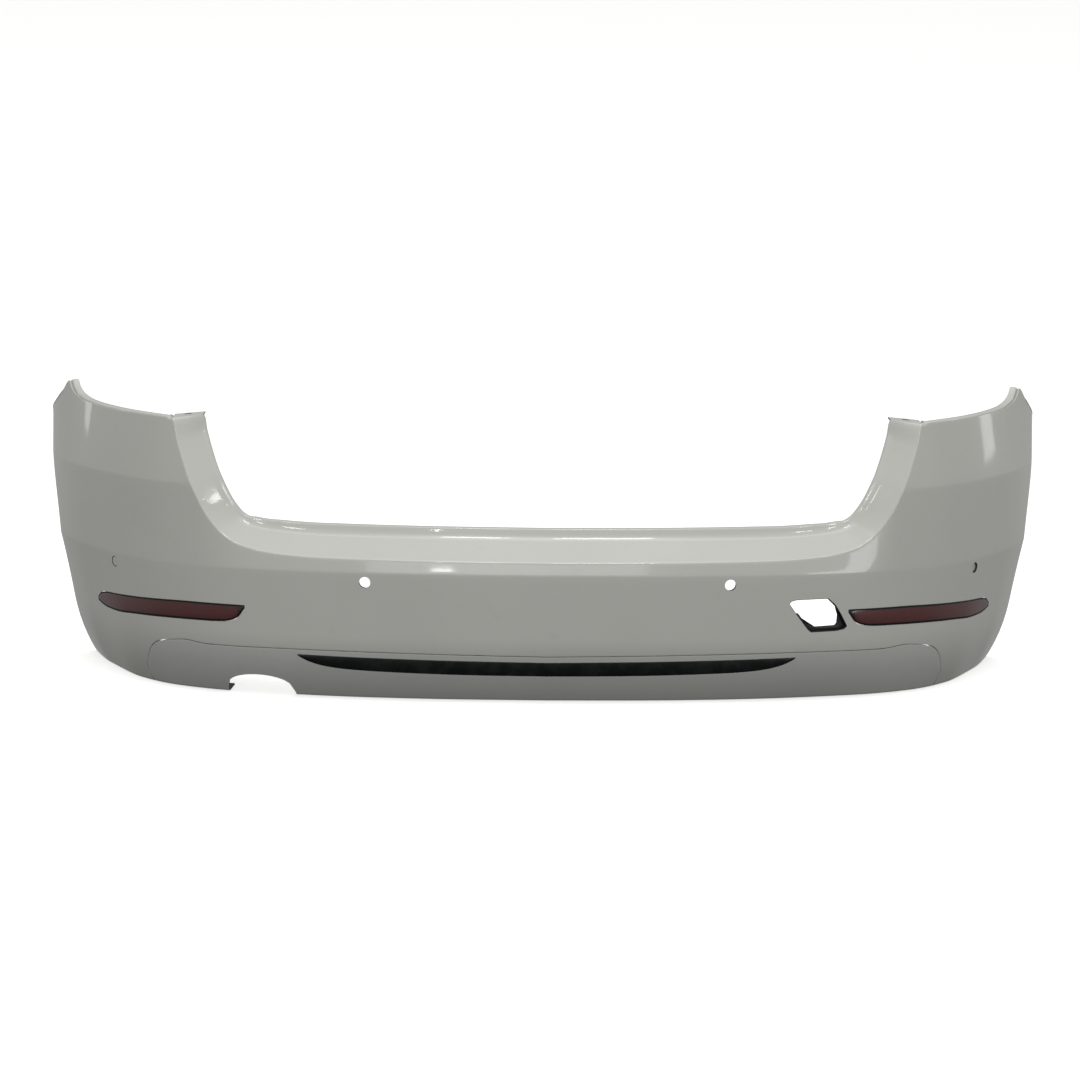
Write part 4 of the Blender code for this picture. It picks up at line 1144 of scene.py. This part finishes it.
def buildStage():
    # A sheet that runs back along the floor, bends up through a quarter circle and rises behind.
    turn = np.linspace(0, math.pi / 2, 20)
    back, bend = studio["backY"], studio["bend"]
    y = np.concatenate([[-studio["floorHalf"]], back + bend * np.sin(turn), [back + bend]])
    z = np.concatenate([[0], bend * (1 - np.cos(turn)), [studio["height"]]])
    x = np.array([-studio["floorHalf"], studio["floorHalf"]])
    grid = np.stack([x[:, None] + 0 * y, y + 0 * x[:, None], z + 0 * x[:, None]], -1)
    sheet = Sheet()
    sheet.add(grid)
    made, shader, add, link = nodeMaterial("paleFloor")
    shader.inputs["Base Color"].default_value = (*studio["white"], 1)
    shader.inputs["Roughness"].default_value = 0.9
    shader.inputs["Emission Color"].default_value = (1, 1, 1, 1)
    shader.inputs["Emission Strength"].default_value = 0.55
    floor = pieceFrom("floor", sheet.mesh("floor", (0, -1, 1)), [made])
    floor.data.polygons.foreach_set("use_smooth", np.ones(len(floor.data.polygons), bool))
    floor.visible_diffuse = False
    floor.visible_glossy = False


def areaLight(name, place, aim, size, power, colour=(1, 1, 1)):
    data = bpy.data.lights.new(name, "AREA")
    data.shape = "RECTANGLE"
    data.size, data.size_y = size
    data.energy = power
    data.color = colour
    light = bpy.data.objects.new(name, data)
    bpy.context.scene.collection.objects.link(light)
    light.location = place
    light.rotation_euler = (Vector(aim) - Vector(place)).to_track_quat("-Z", "Y").to_euler()
    return light


sky = dict(
    # (height of the direction from -1 below to 1 above, brightness)
    stops=[
        (-1.0, 0.01), (-0.55, 0.08), (-0.30, 0.36), (-0.05, 0.44), (0.25, 0.40), (0.60, 0.56), (1.0, 0.80),
    ],  # fmt: skip
    tint=(1.0, 1.0, 0.975),
    strength=1.0,
)


def buildWorld():
    # Brightness by the height of the direction: dim below the horizon, brightest overhead.
    world = bpy.data.worlds.new("studio")
    bpy.context.scene.world = world
    world.use_nodes = True
    tree = world.node_tree
    coordinate = tree.nodes.new("ShaderNodeTexCoord")
    split = tree.nodes.new("ShaderNodeSeparateXYZ")
    half = tree.nodes.new("ShaderNodeMapRange")
    half.inputs["From Min"].default_value = -1
    ramp = tree.nodes.new("ShaderNodeValToRGB")
    elements = ramp.color_ramp.elements
    while len(elements) < len(sky["stops"]):
        elements.new(0.5)
    for element, (height, level) in zip(elements, sky["stops"]):
        element.position = (height + 1) / 2
        element.color = (*(level * c for c in sky["tint"]), 1)
    tree.links.new(coordinate.outputs["Generated"], split.inputs["Vector"])
    tree.links.new(split.outputs["Z"], half.inputs["Value"])
    tree.links.new(half.outputs["Result"], ramp.inputs["Fac"])
    tree.links.new(ramp.outputs["Color"], tree.nodes["Background"].inputs["Color"])
    tree.nodes["Background"].inputs["Strength"].default_value = sky["strength"]


buildStage()
buildWorld()
lamps = dict(
    # name: (place, aim, width and depth, brightness of its face)
    overhead=((0.0, -0.2, 3.6), (0.0, -0.1, 0.3), (3.6, 1.2), 0.9),
    front=((-0.4, -6.0, 2.2), (0.0, -0.2, 0.3), (3.0, 1.6), 1.9),
    right=((3.6, -4.6, 0.7), (0.6, -0.1, 0.2), (1.2, 1.0), 3.8),
    tubeLeft=((-0.25, -0.95, 2.6), (-0.25, -0.25, 0.3), (0.28, 0.60), 11.0),
    tubeRight=((0.30, -0.95, 2.6), (0.25, -0.25, 0.3), (0.38, 0.60), 11.0),
    sideLeft=((-3.40, 1.50, 1.42), (-0.82, -0.02, 0.43), (0.17, 1.90), 2.0),
    sideRight=((3.54, 1.19, 1.42), (0.81, -0.04, 0.43), (0.17, 1.90), 2.6),
    earLeft=((1.85, -0.53, 2.07), (-0.59, -0.2, 0.36), (0.05, 0.12), 20.0),
    earRight=((-1.80, -0.78, 2.10), (0.58, -0.2, 0.35), (0.05, 0.12), 20.0),
    cornerLeft=((-1.60, -2.14, 2.30), (-0.51, -0.19, 0.30), (0.16, 0.30), 13.0),
    cornerRight=((1.75, -2.10, 2.25), (0.54, -0.18, 0.31), (0.16, 0.30), 13.0),
    glint=((-0.60, -2.94, 1.96), (-0.19, -0.24, 0.30), (0.035, 0.16), 30.0),
    streak=((-0.55, -3.16, 1.05), (-0.18, -0.30, 0.24), (0.16, 0.06), 22.0),
)

for lampName, (place, aim, size, brightness) in lamps.items():
    areaLight(lampName, place, aim, size, brightness * math.pi * size[0] * size[1])
bpy.context.scene.view_settings.view_transform = "Standard"
print("stage and light made")
